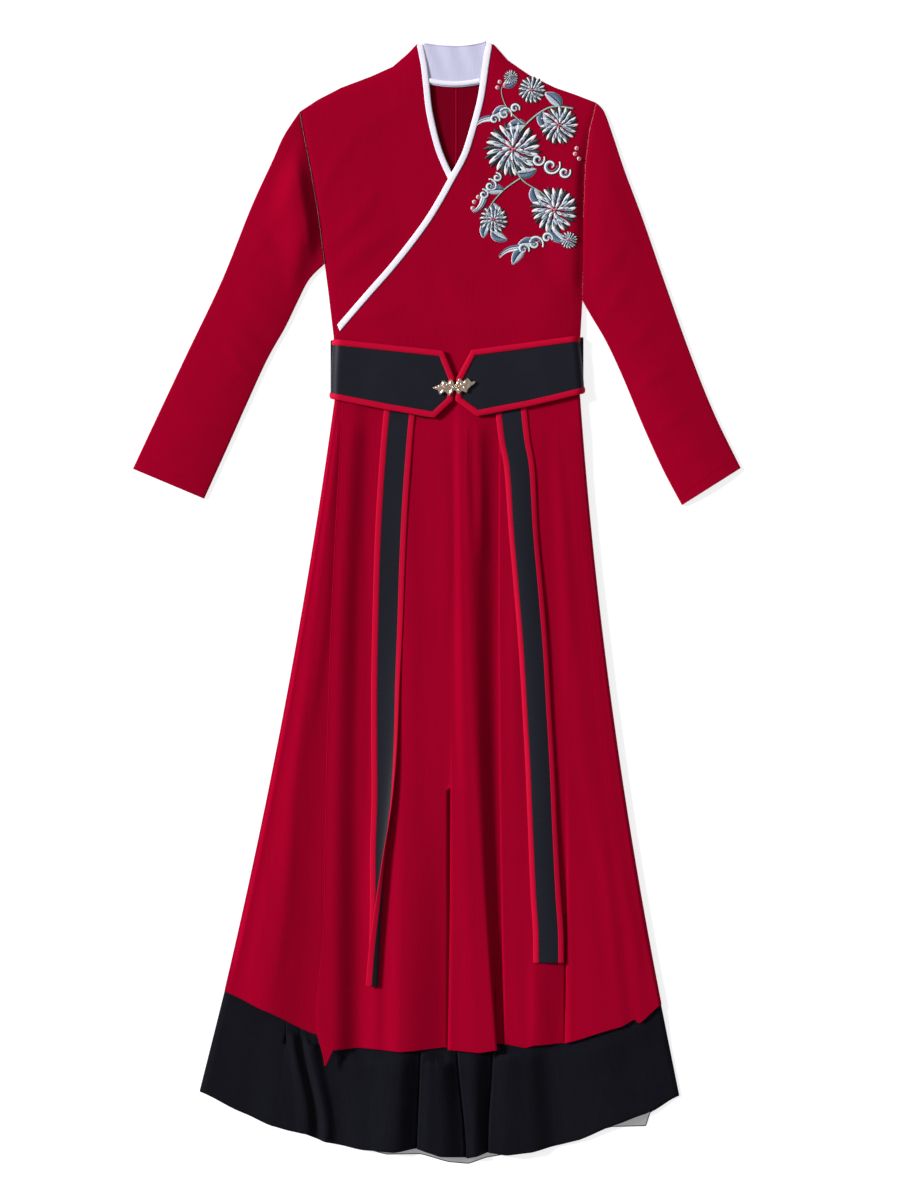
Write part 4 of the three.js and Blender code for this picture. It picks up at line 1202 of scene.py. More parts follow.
def line_point(line, v):
    """Plan place and height of a lengthwise line at shares of the way to its hem."""
    x = through(line.waist, line.half, line.hem, v)
    y = mix(SKIRT_TOP, line.hem_y, v)
    if isinstance(line, Side):
        opening = SIDE_OPENING * smooth((v - SIDE_OPENS) / SIDE_OPENS_FADE)
        return x, y, SIDE_Z - SEWN_DROP * SIDE_SEWN + opening + lift(y)
    if line.at == "free edge":
        sway = smooth((v - SWAY_START) / SWAY_FADE) * (1 - smooth((v - SWAY_END) / SWAY_END_FADE))
        x = x + FREE_EDGE_SWAY * sway
    waist, half, hem = line.up
    opening = (1 - (1 - 2 * clamp(v)) ** 3) * below_belt(y)
    up = np.where(v < 0.5, mix(waist, half, opening), mix(half, hem, smooth(2 * v - 1)))
    return x, y, SKIRT_Z + up + lift(y)


def below_belt(y):
    return smooth((BELT_FREE - y) / BELT_FREE_FADE)


def folds_at(creases, x, y, seed):
    folds = crease_height(creases, x, y) + ripple(x, RIPPLE_STRETCH * y, seed=seed, **SKIRT_RIPPLE)
    return folds * below_belt(y)


def skirt_grid(lines, between, creases, seed):
    v = SKIRT_ROWS
    columns = [line_point(lines[0], v)]
    for before, after in zip(lines, lines[1:]):
        a, b = line_point(before, v), line_point(after, v)
        for k in range(1, between + 1):
            t = k / between
            soft = mix(t, eased(t), HEM_CURVE)
            columns.append((mix(a[0], b[0], t), mix(a[1], b[1], soft), mix(a[2], b[2], eased(t))))
    grid = np.array(columns).transpose(2, 0, 1)
    x, y = grid[..., 0], grid[..., 1]
    plain_z = grid[..., 2]
    low = SKIRT_Z - TROUGH + lift(y)
    folded = np.maximum(plain_z + folds_at(creases, x, y, seed), np.minimum(low, plain_z))
    grid[..., 2] = np.where(plain_z < low, plain_z, folded)
    return grid


def skirt_under(lines, creases, seed, x, y):
    """Height of a skirt panel's underside at plan places."""
    x, y = np.broadcast_arrays(np.asarray(x, float), np.asarray(y, float))
    rows = []
    for line in lines:
        v = clamp((WAIST_Y - y) / (WAIST_Y - line.hem_y))
        px, _, pz = line_point(line, v)
        rows.append((px, pz))
    height = np.full(x.shape, rows[0][1])
    for (ax, az), (bx, bz) in zip(rows, rows[1:]):
        t = clamp((x - ax) / (bx - ax))
        height = np.where(x >= ax, mix(az, bz, eased(t)), height)
    return height + folds_at(creases, x, y, seed)


FRONT_SEED, SIDE_SEED = 5, 6
front_lines = [*FRONT_LINES, SIDE_LEFT]
side_lines = [SIDE_RIGHT, *SIDE_PANEL_LINES]


def skirt():
    v = SKIRT_ROWS[::2]
    u = shares(60)
    right_x, left_x = line_point(SIDE_RIGHT, v)[0], line_point(SIDE_LEFT, v)[0]
    x = mix(right_x[:, None], left_x[:, None], u[None])
    hem_x = mix(SIDE_RIGHT.hem, SIDE_LEFT.hem, u)
    hem_y = y_at(RED_HEM, hem_x) + BACK_HEM_RISE * np.where((u > 0.01) & (u < 0.99), 1, 0)
    y = mix(SKIRT_TOP, hem_y[None], v[:, None])
    dress("skirt_back", [(shell(np.dstack([x, y, lift(y)]), CREPE), crepe)])
    side = skirt_grid(side_lines, 12, SIDE_CREASES, SIDE_SEED)
    front = skirt_grid(front_lines, 8, FRONT_CREASES, FRONT_SEED)
    for node, grid, hems in (
        ("skirt_side_panel", side, [LAST_ROW]),
        ("skirt_front", front, [LAST_ROW, FIRST_COLUMN]),
    ):
        parts = [shell(grid, CREPE), *[edge_bead(grid, CREPE, line) for line in hems]]
        dress(node, [(part, crepe) for part in parts])


def skirt_top(x, y):
    return skirt_under(front_lines, FRONT_CREASES, FRONT_SEED, x, y) + CREPE


# Underskirt. Above the red hem it lies inside the red skirt, and below it on the surface.
def under_edge(side, hem_x, v):
    inward = -np.sign(side.hem) * UNDER_INSET * (1 - smooth((v - side.emerge) / EMERGED + 1))
    above = through(side.waist, side.half, side.hem, v / side.emerge)
    below = mix(side.hem, hem_x, (v - side.emerge) / (1 - side.emerge))
    return np.where(v < side.emerge, above, below) + inward


UNDER_ROWS = np.concatenate([np.linspace(0, 0.74, 24), np.linspace(0.76, 0.992, 64), [0.996, 1]])
FOLD_DEPTH = 1.5  # how much deeper than in the table the underskirt's folds are below the red hem
FOLD_START = 26  # how far inside the red hem the underskirt's folds begin
HEM_CLEAR = 6  # how far below the red hem the underskirt begins to settle
LEAN_START, LEAN_FADE = 0.84, 0.16  # where a fold's lean ends, in shares of its length
COVERED = 14  # how far below the red hem the underskirt still keeps under the red skirt
FREE_EDGE_DROP = 850  # from the waist to the free edge's foot
FREE_EDGE_REACH = 24  # how far inside the free edge the front is surely above the underskirt
ROOF_GAP = 0.3


def under_grid(lines, layer, rest, between):
    v = UNDER_ROWS[:, None]
    columns = [lines[0]]
    for a, b in zip(lines, lines[1:]):
        for t in np.arange(1, between + 1) / between:
            columns.append(UnderLine(
                across=mix(a.across, b.across, t),
                hem_y=mix(a.hem_y, b.hem_y, mix(t, eased(t), HEM_CURVE)),
                fold=mix(a.fold, b.fold, eased(t)),
                lean=mix(a.lean, b.lean, t),
            ))
    across, hem_y, fold, lean = (row[None] for row in np.array(columns).T)
    across = across + lean * (1 - smooth((v - LEAN_START) / LEAN_FADE))
    right = under_edge(SIDE_RIGHT, UNDER_RIGHT_HEM, v)
    left = under_edge(SIDE_LEFT, UNDER_LEFT_HEM, v)
    x = mix(right, left, across)
    y = mix(SKIRT_TOP, hem_y, v)
    hem = y_at(RED_HEM, x)
    below = smooth((hem - HEM_CLEAR - y) / SETTLE)
    begun = smooth((hem + FOLD_START - y) / (2 * FOLD_START))
    z = mix(layer, rest, below) + FOLD_DEPTH * fold * begun + lift(y)
    front = skirt_under(front_lines, FRONT_CREASES, FRONT_SEED, x, y)
    side = skirt_under(side_lines, SIDE_CREASES, SIDE_SEED, x, y)
    free = FRONT_LINES[0]
    free_edge = through(free.waist, free.half, free.hem, clamp((WAIST_Y - y) / FREE_EDGE_DROP))
    roof = np.where(x > free_edge + FREE_EDGE_REACH, front, side) - CHIFFON - ROOF_GAP
    z = np.where(y > hem - COVERED, np.minimum(z, np.maximum(roof, layer + lift(y))), z)
    return np.dstack([x, y, z])


def underskirt():
    for node, lines, layer, rest, cloth in (
        ("underskirt_back", UNDER_BACK_LINES, UNDER_BACK_Z, 0, sheer_chiffon),
        ("underskirt_front", UNDER_FRONT_LINES, UNDER_FRONT_Z, CHIFFON_WALL + LAID, chiffon),
    ):
        grid = under_grid(lines, layer, rest, 6)
        hem = edge_bead(grid, CHIFFON, LAST_ROW, wide=0.55, high=0.45)
        dress(node, [(shell(grid, CHIFFON), cloth), (hem, chiffon)])


# Belt. A place on a wing: distance from the centre along the cloth, y, and height above its underside.
WING_SLANT_START, WING_SLANT_FADE = 60, 90
WING_ROWS = np.concatenate([[0, 0.01], np.linspace(0.03, 0.97, 34), [0.99, 1]])
WING_RIPPLE = dict(wave=55, height=0.25)
WING_SWELL = 0.5
SWELL_START, SWELL_FADE = 6, 30
BINDING_PROFILE = np.array([0, 0.04, 0.12, 0.3, 0.5, 0.7, 0.86, 0.95, 1])
BINDING_SUNK = 0.45
BINDING_STITCHED = 0.8  # where its stitches are, in shares of its width
OUTLINE_STEP = 3.5
AT_SIDE_SEAM = 140  # outline rows farther out than this lie on the side seam
BELT_BACK_ENDS = np.array([[-155, 257, 327], [160, 264, 331]])  # x, low y and high y at each end
BELT_BACK_BOW = (14, 6)  # how far its lower and upper edges sag


def bound_edge(w):
    """The round of a folded strip, from 0 at one edge up and down to the other."""
    return swell(w, start=0.03, span=0.94, power=0.6)


def wing_flat(wing):
    return wing.reach - WING_BEND - WING_WALL


def wing_reach(wing):
    return wing_flat(wing) + WING_BEND * np.pi / 2


def wing_point(wing, s, y, up):
    s, y, up = np.broadcast_arrays(*(np.asarray(value, float) for value in (s, y, up)))
    flat = wing_flat(wing)
    radius = WING_BEND + up
    turn = clamp((s - flat) / (WING_BEND * np.pi / 2)) * np.pi / 2
    bent = s > flat
    x = np.where(bent, flat + radius * np.sin(turn), s)
    x = x + wing.slant * (WING_MIDDLE - y) * smooth((s - WING_SLANT_START) / WING_SLANT_FADE)
    z = np.where(bent, WING_Z - WING_BEND + radius * np.cos(turn), WING_Z + up)
    return np.stack([wing.sign * x, y, z], -1)


def belt_wing(wing):
    corner = np.arange(len(wing.end)) / (len(wing.end) - 1)
    v = np.unique(np.concatenate([WING_ROWS, corner]))
    tip = np.column_stack([np.interp(v, corner, values) for values in zip(*wing.end)])
    flat = wing_flat(wing)
    u = shares(52, 0.006)
    s = mix(tip[:, :1], flat, u[None])
    cut = mix(y_at(wing.bottom, s), y_at(wing.top, s), v[:, None])
    y = mix(tip[:, 1:], cut, smooth(3 * u)[None])
    bend = np.linspace(flat, wing_reach(wing), 10)[1:]
    bend_s = np.broadcast_to(bend, (len(v), len(bend)))
    bend_y = mix(y_at(wing.bottom, bend_s), y_at(wing.top, bend_s), v[:, None])
    s, y = np.hstack([s, bend_s]), np.hstack([y, bend_y])
    filled = WING_SWELL * arch(v)[:, None] * smooth((s - SWELL_START) / SWELL_FADE)
    waves = ripple(s, y, seed=21 + wing.sign, **WING_RIPPLE) * arch(v)[:, None]
    return shell(wing_point(wing, s, y, 0), WING_WALL - WING_SWELL + filled + waves, np.dstack([s, y]))


def belt_outline(wing):
    """The wing's outline and the line that the binding's inner edge follows, as matching (s, y) points."""
    reach = wing_reach(wing)

    def to_side(table):
        return [(reach if s > AT_SIDE_SEAM else s, y) for s, y in table]

    rows = [*to_side(wing.top), *wing.end[::-1][1:], *to_side(wing.bottom)[::-1][1:]]
    points = np.array(rows, float)
    way = unit(np.diff(points, axis=0))
    normal = np.column_stack([-way[:, 1], way[:, 0]])
    inner = []
    for i, p in enumerate(points):
        a, b = normal[max(0, i - 1)], normal[min(len(normal) - 1, i)]
        mitre = unit(a + b)
        inner.append(p + mitre * BINDING_WIDTH / max(0.5, mitre @ a))
    inner = np.array(inner)
    inner[[0, -1], 0] = reach
    outer_fine, inner_fine = [points[0]], [inner[0]]
    for i in range(len(points) - 1):
        count = max(3, int(np.linalg.norm(points[i + 1] - points[i]) / OUTLINE_STEP))
        for t in np.linspace(0, 1, count)[1:]:
            outer_fine.append(mix(points[i], points[i + 1], t))
            inner_fine.append(mix(inner[i], inner[i + 1], t))
    return np.array(outer_fine), np.array(inner_fine)


def belt_binding(wing):
    outer, inner = belt_outline(wing)
    w = BINDING_PROFILE
    plan = mix(outer[:, None], inner[:, None], w[None, :, None])
    rise = WING_WALL - BINDING_SUNK
    grid = wing_point(wing, plan[..., 0], plan[..., 1], rise)
    cloth = np.dstack(np.meshgrid(w * BINDING_WIDTH, reaches(outer)))
    body = shell(grid, (0.7 + 0.55 * bound_edge(w))[None], cloth)
    fold = rope(wing_point(wing, *outer.T, WING_WALL * 0.5 + 0.1), UP, wide=1.1, high=1.35, sides=10)
    row = mix(outer, inner, BINDING_STITCHED)
    line = wing_point(wing, *row.T, rise + 1.15)
    level = row[:, 0] < wing_flat(wing)
    return [(part, red_binding) for part in (body, fold, stitches(line[level], UP, half=0.26))]


def belt():
    u, v = np.meshgrid(shares(40, 0.006), shares(14, 0.02))
    x, low, high = (mix(right, left, u) for right, left in BELT_BACK_ENDS.T)
    y = mix(low - BELT_BACK_BOW[0] * arch(u), high - BELT_BACK_BOW[1] * arch(u), v)
    back = shell(np.dstack([x, y, np.zeros(x.shape)]), BELT_WALL)
    dress("belt_back", [(back, satin)])
    for name, wing in (("right", WING_RIGHT), ("left", WING_LEFT)):
        dress("belt_wing_" + name, [(belt_wing(wing), satin)])
        dress("belt_binding_" + name, belt_binding(wing))


# Streamers. The highest place of the skirt under a strip carries it.
STRIP_REST = 0.35
CURL_HEIGHT = 0.28  # a curled strip lies pressed down to this share of a round curl's height
CROWN_HEIGHT = 0.3  # and a crowned one to this share of a round crown's
LEAST_BEND = 0.6  # degrees
SEATS = 25  # places across a strip at which the skirt under it is looked up
SMOOTHED = 9  # rows over which its seat is evened out
EDGING_PROFILE = np.array([0, 0.05, 0.14, 0.32, 0.5, 0.68, 0.86, 0.95, 1])
EDGING_SUNK = 0.2
TUCKED_SHARE = 0.025  # how far the core goes under each edging, in shares of the strip's width
EDGING_OVER = 0.01  # and how far each edging goes over its own width


def strip_point(rows, share, curled):
    """Across a strip: sideways place and height, for each row (y, x, degrees) and share of its width."""
    turn = np.radians(np.maximum(rows[:, 2:3], LEAST_BEND))
    radius = STREAMER_WIDTH / turn
    angle = share[None] * turn
    if curled:
        return rows[:, 1:2] + radius * np.sin(angle), CURL_HEIGHT * radius * (1 - np.cos(angle))
    angle = angle - turn / 2
    half = radius * np.sin(turn / 2)
    up = CROWN_HEIGHT * radius * (np.cos(angle) - np.cos(turn / 2))
    return rows[:, 1:2] + half + radius * np.sin(angle), up


def strip_grid(rows, share, curled):
    y = rows[:, :1]
    seat_x, seat_up = strip_point(rows, np.linspace(0, 1, SEATS), curled)
    base = (skirt_top(seat_x, np.broadcast_to(y, seat_x.shape)) - seat_up).max(1)
    padded = np.pad(base, SMOOTHED // 2, "edge")
    base = np.maximum(base, np.convolve(padded, np.ones(SMOOTHED) / SMOOTHED, "valid")) + STRIP_REST
    x, up = strip_point(rows, share, curled)
    return np.dstack([x, np.broadcast_to(y, x.shape), base[:, None] + up])


def streamers():
    edge = STREAMER_EDGING / STREAMER_WIDTH
    w = EDGING_PROFILE
    bound = 0.95 + 0.5 * bound_edge(w)
    wide = edge + EDGING_OVER
    for side, table, curled in (("right", STREAMER_RIGHT, True), ("left", STREAMER_LEFT, False)):
        rows = splined(table, 14)

        def cloth(share):
            return np.dstack(np.meshgrid(share * STREAMER_WIDTH, rows[:, 0]))

        share = shares(22, 0.01) * (1 - 2 * edge + 2 * TUCKED_SHARE) + edge - TUCKED_SHARE
        core = shell(strip_grid(rows, share, curled), SATIN, cloth(share))
        dress(f"streamer_{side}_core", [(core, satin)])
        for letter, share, stitched in (("a", w * wide, 6), ("b", 1 - edge - EDGING_OVER + w * wide, 2)):
            grid = strip_grid(rows, share, curled)
            normal = normals_of(grid)
            if normal[0, len(w) // 2, 2] < 0:
                normal = -normal
            grid = grid - normal * EDGING_SUNK
            line = grid[:, stitched] + normal[:, stitched] * (bound[stitched] + 0.02)
            seam = stitches(line, normal[:, stitched], 0.24)
            parts = [(shell(grid, bound[None], cloth(share), rim=0.5), red_binding), (seam, red_binding)]
            dress(f"streamer_{side}_edging_{letter}", parts)


# Clasp
def plate(outline, thickness, bevel, z):
    """A flat plate with soft edges, from its outline."""
    curve = bpy.data.curves.new("plate", "CURVE")
    curve.dimensions = "2D"
    curve.fill_mode = "BOTH"
    curve.extrude = thickness / 2 - bevel
    curve.bevel_depth = bevel
    curve.bevel_resolution = 3
    spline = curve.splines.new("POLY")
    spline.points.add(len(outline) - 1)
    for point, (x, y) in zip(spline.points, outline):
        point.co = (x, y, 0, 1)
    spline.use_cyclic_u = True
    carrier = bpy.data.objects.new("plate", curve)
    bpy.context.scene.collection.objects.link(carrier)
    bpy.context.view_layer.update()
    mesh = bpy.data.meshes.new_from_object(carrier.evaluated_get(bpy.context.evaluated_depsgraph_get()))
    points = np.array([v.co for v in mesh.vertices]) + [0, 0, z + thickness / 2]
    faces = [tuple(p.vertices) for p in mesh.polygons]
    bpy.data.objects.remove(carrier)
    bpy.data.curves.remove(curve)
    bpy.data.meshes.remove(mesh)
    return Part(points, faces, points[:, :2])


Lobe = namedtuple("Lobe", "x y to_x to_y half high")
CLASP_LOBES = {
    "right": [
        Lobe(-2, 0, -25, -0.5, 2.4, 1.5), Lobe(-4, 1, -5, 8.4, 2.2, 1.3), Lobe(-11, 0, -15, 6.8, 2.3, 1.3),
        Lobe(-9, 1, -9.5, 5, 1.6, 1.0), Lobe(-13, -1, -18, -7, 2.2, 1.3), Lobe(-4, -1, -7, -8.6, 2.2, 1.3),
        Lobe(-17, 0, -20.5, 2.4, 1.5, 1.0),
    ],
    "left": [
        Lobe(2, 0, 23.5, 6, 2.4, 1.5), Lobe(3.5, 1, 5, 9.2, 2.1, 1.3), Lobe(12, 3, 15.5, 9.8, 2.2, 1.3),
        Lobe(10, 2, 13.6, -5, 2.2, 1.3), Lobe(3.5, -1, 4.6, -7, 2.1, 1.3), Lobe(16, 4, 18.6, 0.5, 1.6, 1.0),
        Lobe(8, 2, 9, 5.6, 1.5, 1.0),
    ],
}


PLATE = 1.6
PLATE_BEVEL = 0.45
LOBE_Z = CLASP_Z + 1.3
LOBE_POINTS = 13
LOBE_SWAY = 0.8
Boss = namedtuple("Boss", "x ring ring_z ring_end dome dome_z")
BOSS = Boss(x=2.2, ring=1.9, ring_z=CLASP_Z + 2.3, ring_end=22, dome=1.3, dome_z=CLASP_Z + 2.0)


def clasp_lobe(lobe, centre):
    """A raised lobe and the vein along it."""
    t = np.linspace(0, 1, LOBE_POINTS)
    shape = swell(t, start=0.06, span=0.9, power=0.7)
    way = np.array([lobe.to_x - lobe.x, lobe.to_y - lobe.y])
    beside = np.array([-way[1], way[0]]) / np.hypot(*way)
    line = np.array([[lobe.x, lobe.y]]) + way * t[:, None] + beside * (LOBE_SWAY * arch(t))[:, None] + centre
    base = np.column_stack([line, np.full(LOBE_POINTS, LOBE_Z)])
    vein = base + np.multiply.outer(lobe.high * shape, UP)
    return [
        rope(base, UP, lobe.half * shape, lobe.high * shape, sides=12, low=0.5),
        rope(vein[1:-1], UP, wide=0.3, high=0.35, sides=6),
    ]


def clasp_boss(x):
    """An open ring round a small dome."""
    ring = np.linspace(0, math.tau, 25)[:-1]
    loop = np.column_stack([
        x + BOSS.ring * np.cos(ring), CLASP_Y + BOSS.ring * np.sin(ring), np.full(len(ring), BOSS.ring_z),
    ])
    ends = np.array([[x - BOSS.dome, CLASP_Y, 0], [x, CLASP_Y, 0], [x + BOSS.dome, CLASP_Y, 0]])
    fine = spaced(ends, 0.2) + [0, 0, BOSS.dome_z]
    bulge = arch(np.linspace(0.04, 0.96, len(fine))) ** 0.5
    return [
        rope(loop[: BOSS.ring_end], UP, wide=0.5, high=0.6),
        rope(fine, UP, BOSS.dome * bulge, 1.1 * bulge, sides=12),
    ]


def clasp():
    centre = np.array([0, CLASP_Y])
    for side, outline in CLASP_OUTLINES.items():
        closed = splined([*outline, outline[0]], 5)[:-1]
        parts = [plate(closed + centre, PLATE, PLATE_BEVEL, CLASP_Z)]
        for lobe in CLASP_LOBES[side]:
            parts += clasp_lobe(lobe, centre)
        parts += clasp_boss(-BOSS.x if side == "right" else BOSS.x)
        dress("clasp_" + side, [(joined(parts), clasp_metal)], "metal")


# Embroidery on the left front: chrysanthemums, leaves, scrolling clouds and berries in raised satin stitch
EMBROIDERY_LIFT = 0.05
Ring = namedtuple("Ring", "count start length width colour raised size")
FLOWER_RINGS = [  # sizes are shares of the flower's radius
    Ring(16, 0.42, 0.58, 0.19, "ink", 0.0, 1.06),
    Ring(16, 0.42, 0.56, 0.16, "white", 0.35, 1.0),
    Ring(12, 0.22, 0.46, 0.15, "mist", 0.75, 1.0),
    Ring(8, 0.08, 0.34, 0.13, "white", 1.15, 1.0),
]
MARKS = [None, "slate", "slate", "mist"]  # on each ring's petals
Tail = namedtuple("Tail", "shift colour half")
CLOUD_TAILS = [Tail(0.0, "white", 1.7), Tail(3.4, "mist", 1.5), Tail(6.4, "slate", 1.1)]
CLOUD_SCROLLS = ((-0.95, 0.72), (0.0, 1.0), (0.98, 0.66))  # offset and size, in shares of the cloud's
LEAF_BEND = 0.35


class Embroidery:
    """Strands of thread that lie on the left front, kept by colour."""

    def __init__(self):
        self.strands = {name: [] for name in THREADS}
        self.draw = random.Random(17)

    def strand(self, line, half, high, colour, raise_by=0.0, sides=8):
        line = np.asarray(line, float)
        z = over_front_height(line[:, 0], line[:, 1]) + CREPE + EMBROIDERY_LIFT + raise_by
        spots = np.column_stack([line, z])
        self.strands[colour].append(rope(spots, UP, half, high, sides=sides, low=0.2))

    def petal(self, x, y, angle, length, width, colour, raise_by=0.0, start=0.0, bend=0.0):
        t = np.linspace(0, 1, 10)
        out = start + length * t
        turn = angle + bend * t
        line = np.column_stack([x + out * np.cos(turn), y + out * np.sin(turn)])
        half = width / 2 * swell(t**1.3, start=0.04, span=0.92, power=0.75)
        self.strand(line, half, 0.55 + 0.5 * half / width, colour, raise_by)

    def flower(self, x, y, radius, tilt):
        """Rings of petals with a darker mark at each one's foot, round a pink heart."""
        for number, (ring, mark) in enumerate(zip(FLOWER_RINGS, MARKS)):
            start = radius * ring.start
            for i in range(ring.count):
                turned = i + 0.5 * (number % 2)
                angle = tilt + turned * math.tau / ring.count + self.draw.uniform(-0.05, 0.05)
                reach = radius * ring.length * ring.size * self.draw.uniform(0.92, 1.05)
                width = radius * ring.width
                self.petal(x, y, angle, reach, width * ring.size, ring.colour, ring.raised, start, 0.15)
                if mark:
                    inner = start + reach * 0.1
                    self.petal(x, y, angle, reach * 0.5, width * 0.42, mark, ring.raised + 0.42, inner, 0.08)
        for i in range(7):
            angle = tilt + i * math.tau / 6
            out = 0 if i == 6 else radius * 0.09
            knot_x, knot_y = x + out * math.cos(angle), y + out * math.sin(angle)
            self.knot(knot_x, knot_y, radius * 0.055, "pink" if i % 2 == 0 else "ink", 1.7)

    def knot(self, x, y, size, colour, raise_by=0.0):
        t = np.linspace(-0.96, 0.96, 9)
        line = np.column_stack([x + size * t, np.full(len(t), y)])
        shape = np.sqrt(1 - t**2)
        self.strand(line, size * shape, 0.9 * shape, colour, raise_by)

    def leaf(self, x, y, angle, length, width):
        """Two halves on a white ground, and the vein between them."""
        for side in (-1, 1):
            t = np.linspace(0, 1, 12)
            middle = width * 0.26 * arch(t**0.85) * side
            bend = angle + LEAF_BEND * t
            out = length * t
            line = np.column_stack([
                x + out * np.cos(bend) - middle * np.sin(bend),
                y + out * np.sin(bend) + middle * np.cos(bend),
            ])
            half = width * 0.25 * swell(t**0.85, start=0.03, span=0.94, power=0.8)
            self.strand(line, half + 0.55, 0.35, "white", 0.0)
            self.strand(line, half, 0.6, "slate" if side < 0 else "mist", 0.25)
        t = np.linspace(0, 0.9, 10)
        bend = angle + LEAF_BEND * t
        vein = np.column_stack([x + length * t * np.cos(bend), y + length * t * np.sin(bend)])
        self.strand(vein, 0.42, 0.5, "ink", 0.7)

    def scroll(self, x, y, size, start, turns, colour, wide, raise_by=0.0):
        t = np.linspace(0, 1, int(26 * abs(turns)) + 8)
        angle = start + turns * math.tau * t
        radius = size * (1 - 0.86 * t)
        line = np.column_stack([x + radius * np.cos(angle), y + radius * np.sin(angle)])
        half = wide * mix(0.55, 1.0, swell(t, start=0.05, span=0.9))
        self.strand(line, half, 0.55 + 0.2 * raise_by, colour, raise_by)

    def cloud(self, x, y, size, tilt, turn):
        """Three scrolls side by side with a swept tail, outlined in ink."""
        for offset, share in CLOUD_SCROLLS:
            cx = x + size * offset * math.cos(tilt)
            cy = y + size * offset * math.sin(tilt)
            reach = size * share * 0.62
            start = tilt - turn * 0.9
            self.scroll(cx, cy, reach + 1.0, start, turn * 1.25, "ink", 1.9)
            self.scroll(cx, cy, reach, start, turn * 1.25, "white", 1.55, 0.35)
            self.scroll(cx, cy, reach * 0.66, start + 0.4 * turn, turn * 1.1, "slate", 0.9, 0.5)
        t = np.linspace(0, 1, 26)
        for tail in CLOUD_TAILS:
            out = size * (1.1 + 1.7 * t) * -1
            sway = size * 0.32 * np.sin(2.6 * t) * turn + tail.shift * turn * (1 - 0.5 * t)
            line = np.column_stack([
                x + out * math.cos(tilt) - sway * math.sin(tilt),
                y + out * math.sin(tilt) + sway * math.cos(tilt),
            ])
            self.strand(line, tail.half * (1 - 0.85 * t) + 0.15, 0.6, tail.colour, 0.1)

    def stem(self, rows, half, colour, raise_by=0.0):
        line = spaced(splined(rows, 10), 2)
        t = np.linspace(0, 1, len(line))
        self.strand(line, half * mix(1, 0.35, t), 0.6, colour, raise_by)
        return along(line)

    def objects(self):
        return [
            piece("embroidery_" + colour, [(joined(strands), THREADS[colour])])
            for colour, strands in self.strands.items()
        ]


Stem = namedtuple("Stem", "half inner rows")
STEMS = [
    Stem(2.0, 1.1, [(148, 617), (118, 618), (88, 596), (70, 566), (82, 530), (112, 508), (124, 480),
                    (106, 452), (84, 440)]),
    Stem(1.5, 0.8, [(88, 596), (66, 616), (58, 640), (68, 654)]),
    Stem(1.6, 0.9, [(82, 530), (58, 512), (40, 486), (46, 462)]),
]
Leaf = namedtuple("Leaf", "stem share side length width")
LEAVES = [
    Leaf(0, 0.06, -1, 26, 14), Leaf(0, 0.15, 1, 24, 13), Leaf(0, 0.25, -1, 25, 14), Leaf(0, 0.5, 1, 24, 13),
    Leaf(0, 0.6, -1, 27, 14), Leaf(0, 0.83, 1, 26, 14), Leaf(0, 0.93, -1, 22, 12), Leaf(1, 0.4, 1, 21, 12),
    Leaf(1, 0.85, -1, 18, 10), Leaf(2, 0.3, -1, 22, 12), Leaf(2, 0.55, 1, 23, 12), Leaf(2, 0.85, -1, 20, 11),
    Leaf(0, 0.99, 0.2, 24, 12), Leaf(2, 0.99, 0.4, 22, 12),
]
LEAF_ANGLE = 0.95
LEAF_BEFORE = 0.02  # share of the stem over which its heading is read
Cloud = namedtuple("Cloud", "x y size tilt turn")
CLOUDS = [
    Cloud(120, 545, 19, -0.45, -1), Cloud(100, 448, 17, 0.45, 1), Cloud(62, 610, 15, 0.5, 1),
    Cloud(44, 520, 14, 0.9, -1),
]
Flower = namedtuple("Flower", "x y radius tilt")
FLOWERS = [
    Flower(72, 566, 34, 0.2), Flower(124, 490, 29, 0.5), Flower(130, 596, 24, 0.1), Flower(48, 478, 18, 0.7),
    Flower(96, 640, 17, 0.4), Flower(70, 656, 9, 0.3), Flower(142, 452, 11, 0.2),
]
BERRIES = [
    (56, 650), (62, 645), (53, 643), (24, 500), (29, 506), (22, 492), (150, 560), (155, 554), (152, 567),
]


def embroider():
    work = Embroidery()
    stems = [work.stem(stem.rows, stem.half, "ink") for stem in STEMS]
    for stem in STEMS:
        work.stem(stem.rows, stem.inner, "sage", 0.4)
    for leaf in LEAVES:
        before, at = stems[leaf.stem](leaf.share - LEAF_BEFORE), stems[leaf.stem](leaf.share)
        heading = math.atan2(at[1] - before[1], at[0] - before[0])
        work.leaf(at[0], at[1], heading + leaf.side * LEAF_ANGLE, leaf.length, leaf.width)
    for cloud in CLOUDS:
        work.cloud(*cloud)
    for flower in FLOWERS:
        work.flower(*flower)
    for x, y in BERRIES:
        work.knot(x, y, 2.6, "white")
        work.knot(x, y, 1.8, "pink", 0.6)
    return work.objects()


# Everything; and a record of a cut, its flat width and length in metres and its area, which no piece fills in
for make in (bodice, collar, neck_trims, skirt, underskirt, belt, streamers, clasp):
    make()
embroidery = embroider()

Cut = namedtuple("Cut", "width length area rests_on")


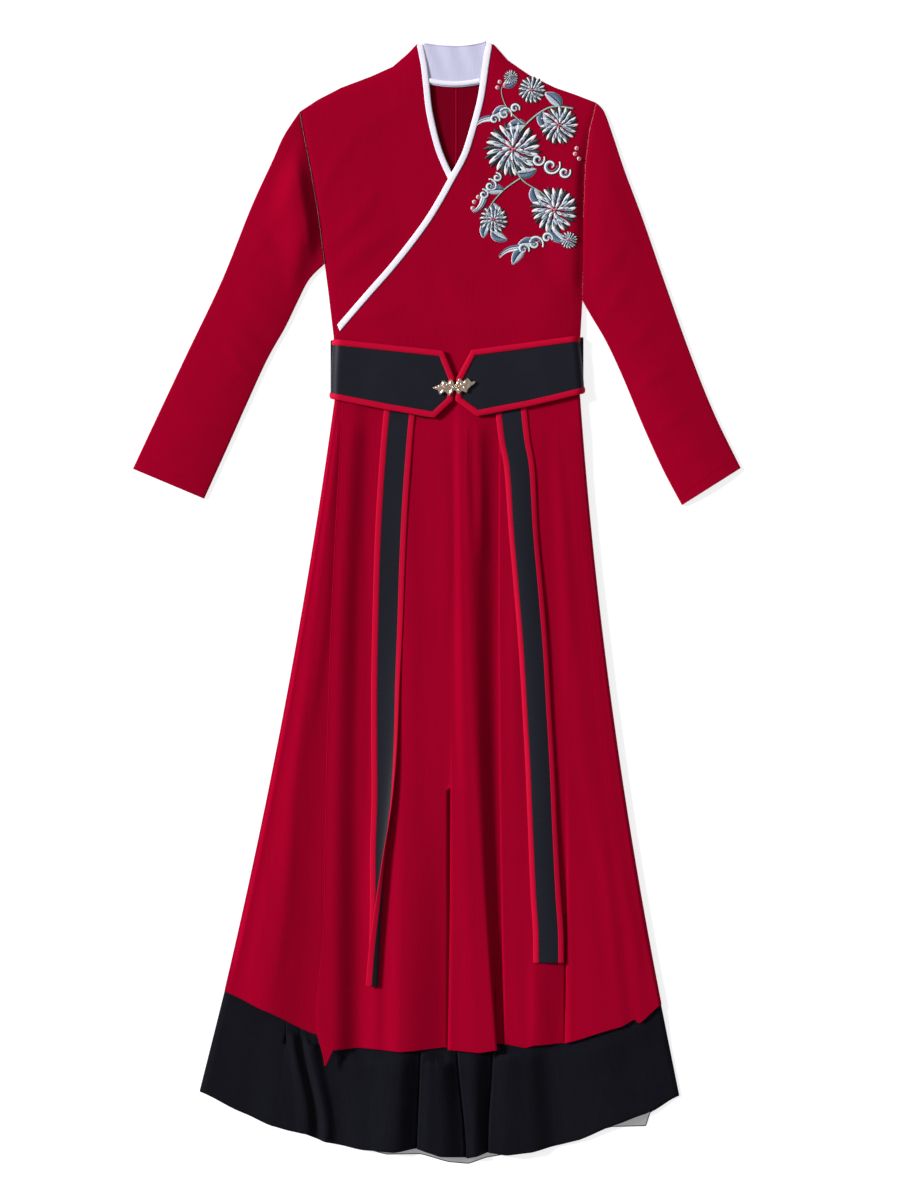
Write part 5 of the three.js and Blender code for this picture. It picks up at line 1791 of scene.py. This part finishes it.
# The floor, the light and the camera
FLOOR_HALF = 4.0
FLOOR_Z = -0.0004
FLOOR_GLOW = 0.75
WORLD_LIGHT = 0.355
SUN_PLACE = (-1.85, 0.65, 1.0)
SUN_STRENGTH = 5.5
SUN_DEGREES = 12


def stage():
    mesh = bpy.data.meshes.new("floor")
    corners = [(-1, -1), (1, -1), (1, 1), (-1, 1)]
    mesh.from_pydata([(x * FLOOR_HALF, y * FLOOR_HALF, FLOOR_Z) for x, y in corners], [], [(0, 1, 2, 3)])
    mesh.uv_layers.new(name="cloth")
    floor = bpy.data.objects.new("floor", mesh)
    bpy.context.scene.collection.objects.link(floor)
    tree = Tree("pale_floor")
    mesh.materials.append(tree.finish(
        Base_Color=(0.4, 0.4, 0.4, 1),
        Roughness=0.9,
        Specular_IOR_Level=0.1,
        Emission_Color=(1, 1, 1, 1),
        Emission_Strength=FLOOR_GLOW,
    ))


def sun(place, strength, degrees):
    """Even light from one side, as soft as its width in degrees."""
    lamp = bpy.data.lights.new("key", "SUN")
    lamp.energy = strength
    lamp.angle = math.radians(degrees)
    obj = bpy.data.objects.new("key", lamp)
    obj.location = place
    obj.rotation_euler = (-Vector(place)).to_track_quat("-Z", "Y").to_euler()
    bpy.context.scene.collection.objects.link(obj)


def studio():
    world = bpy.data.worlds.new("studio")
    world.use_nodes = True
    background = world.node_tree.nodes["Background"]
    background.inputs["Color"].default_value = (1, 1, 1, 1)
    background.inputs["Strength"].default_value = WORLD_LIGHT
    bpy.context.scene.world = world
    sun(SUN_PLACE, SUN_STRENGTH, SUN_DEGREES)
    bpy.context.scene.view_settings.view_transform = "Standard"


VIEW_HEIGHT = 1.5
VIEW_CENTRE = (0.0165, 0.0046)
CAMERA_DISTANCE = 4.2
SENSOR = 36.0


def camera():
    data = bpy.data.cameras.new("camera")
    data.sensor_fit = "VERTICAL"
    data.sensor_height = SENSOR
    data.lens = SENSOR * CAMERA_DISTANCE / VIEW_HEIGHT
    obj = bpy.data.objects.new("camera", data)
    obj.location = (*VIEW_CENTRE, CAMERA_DISTANCE)
    bpy.context.scene.collection.objects.link(obj)
    bpy.context.scene.camera = obj


stage()
studio()
camera()
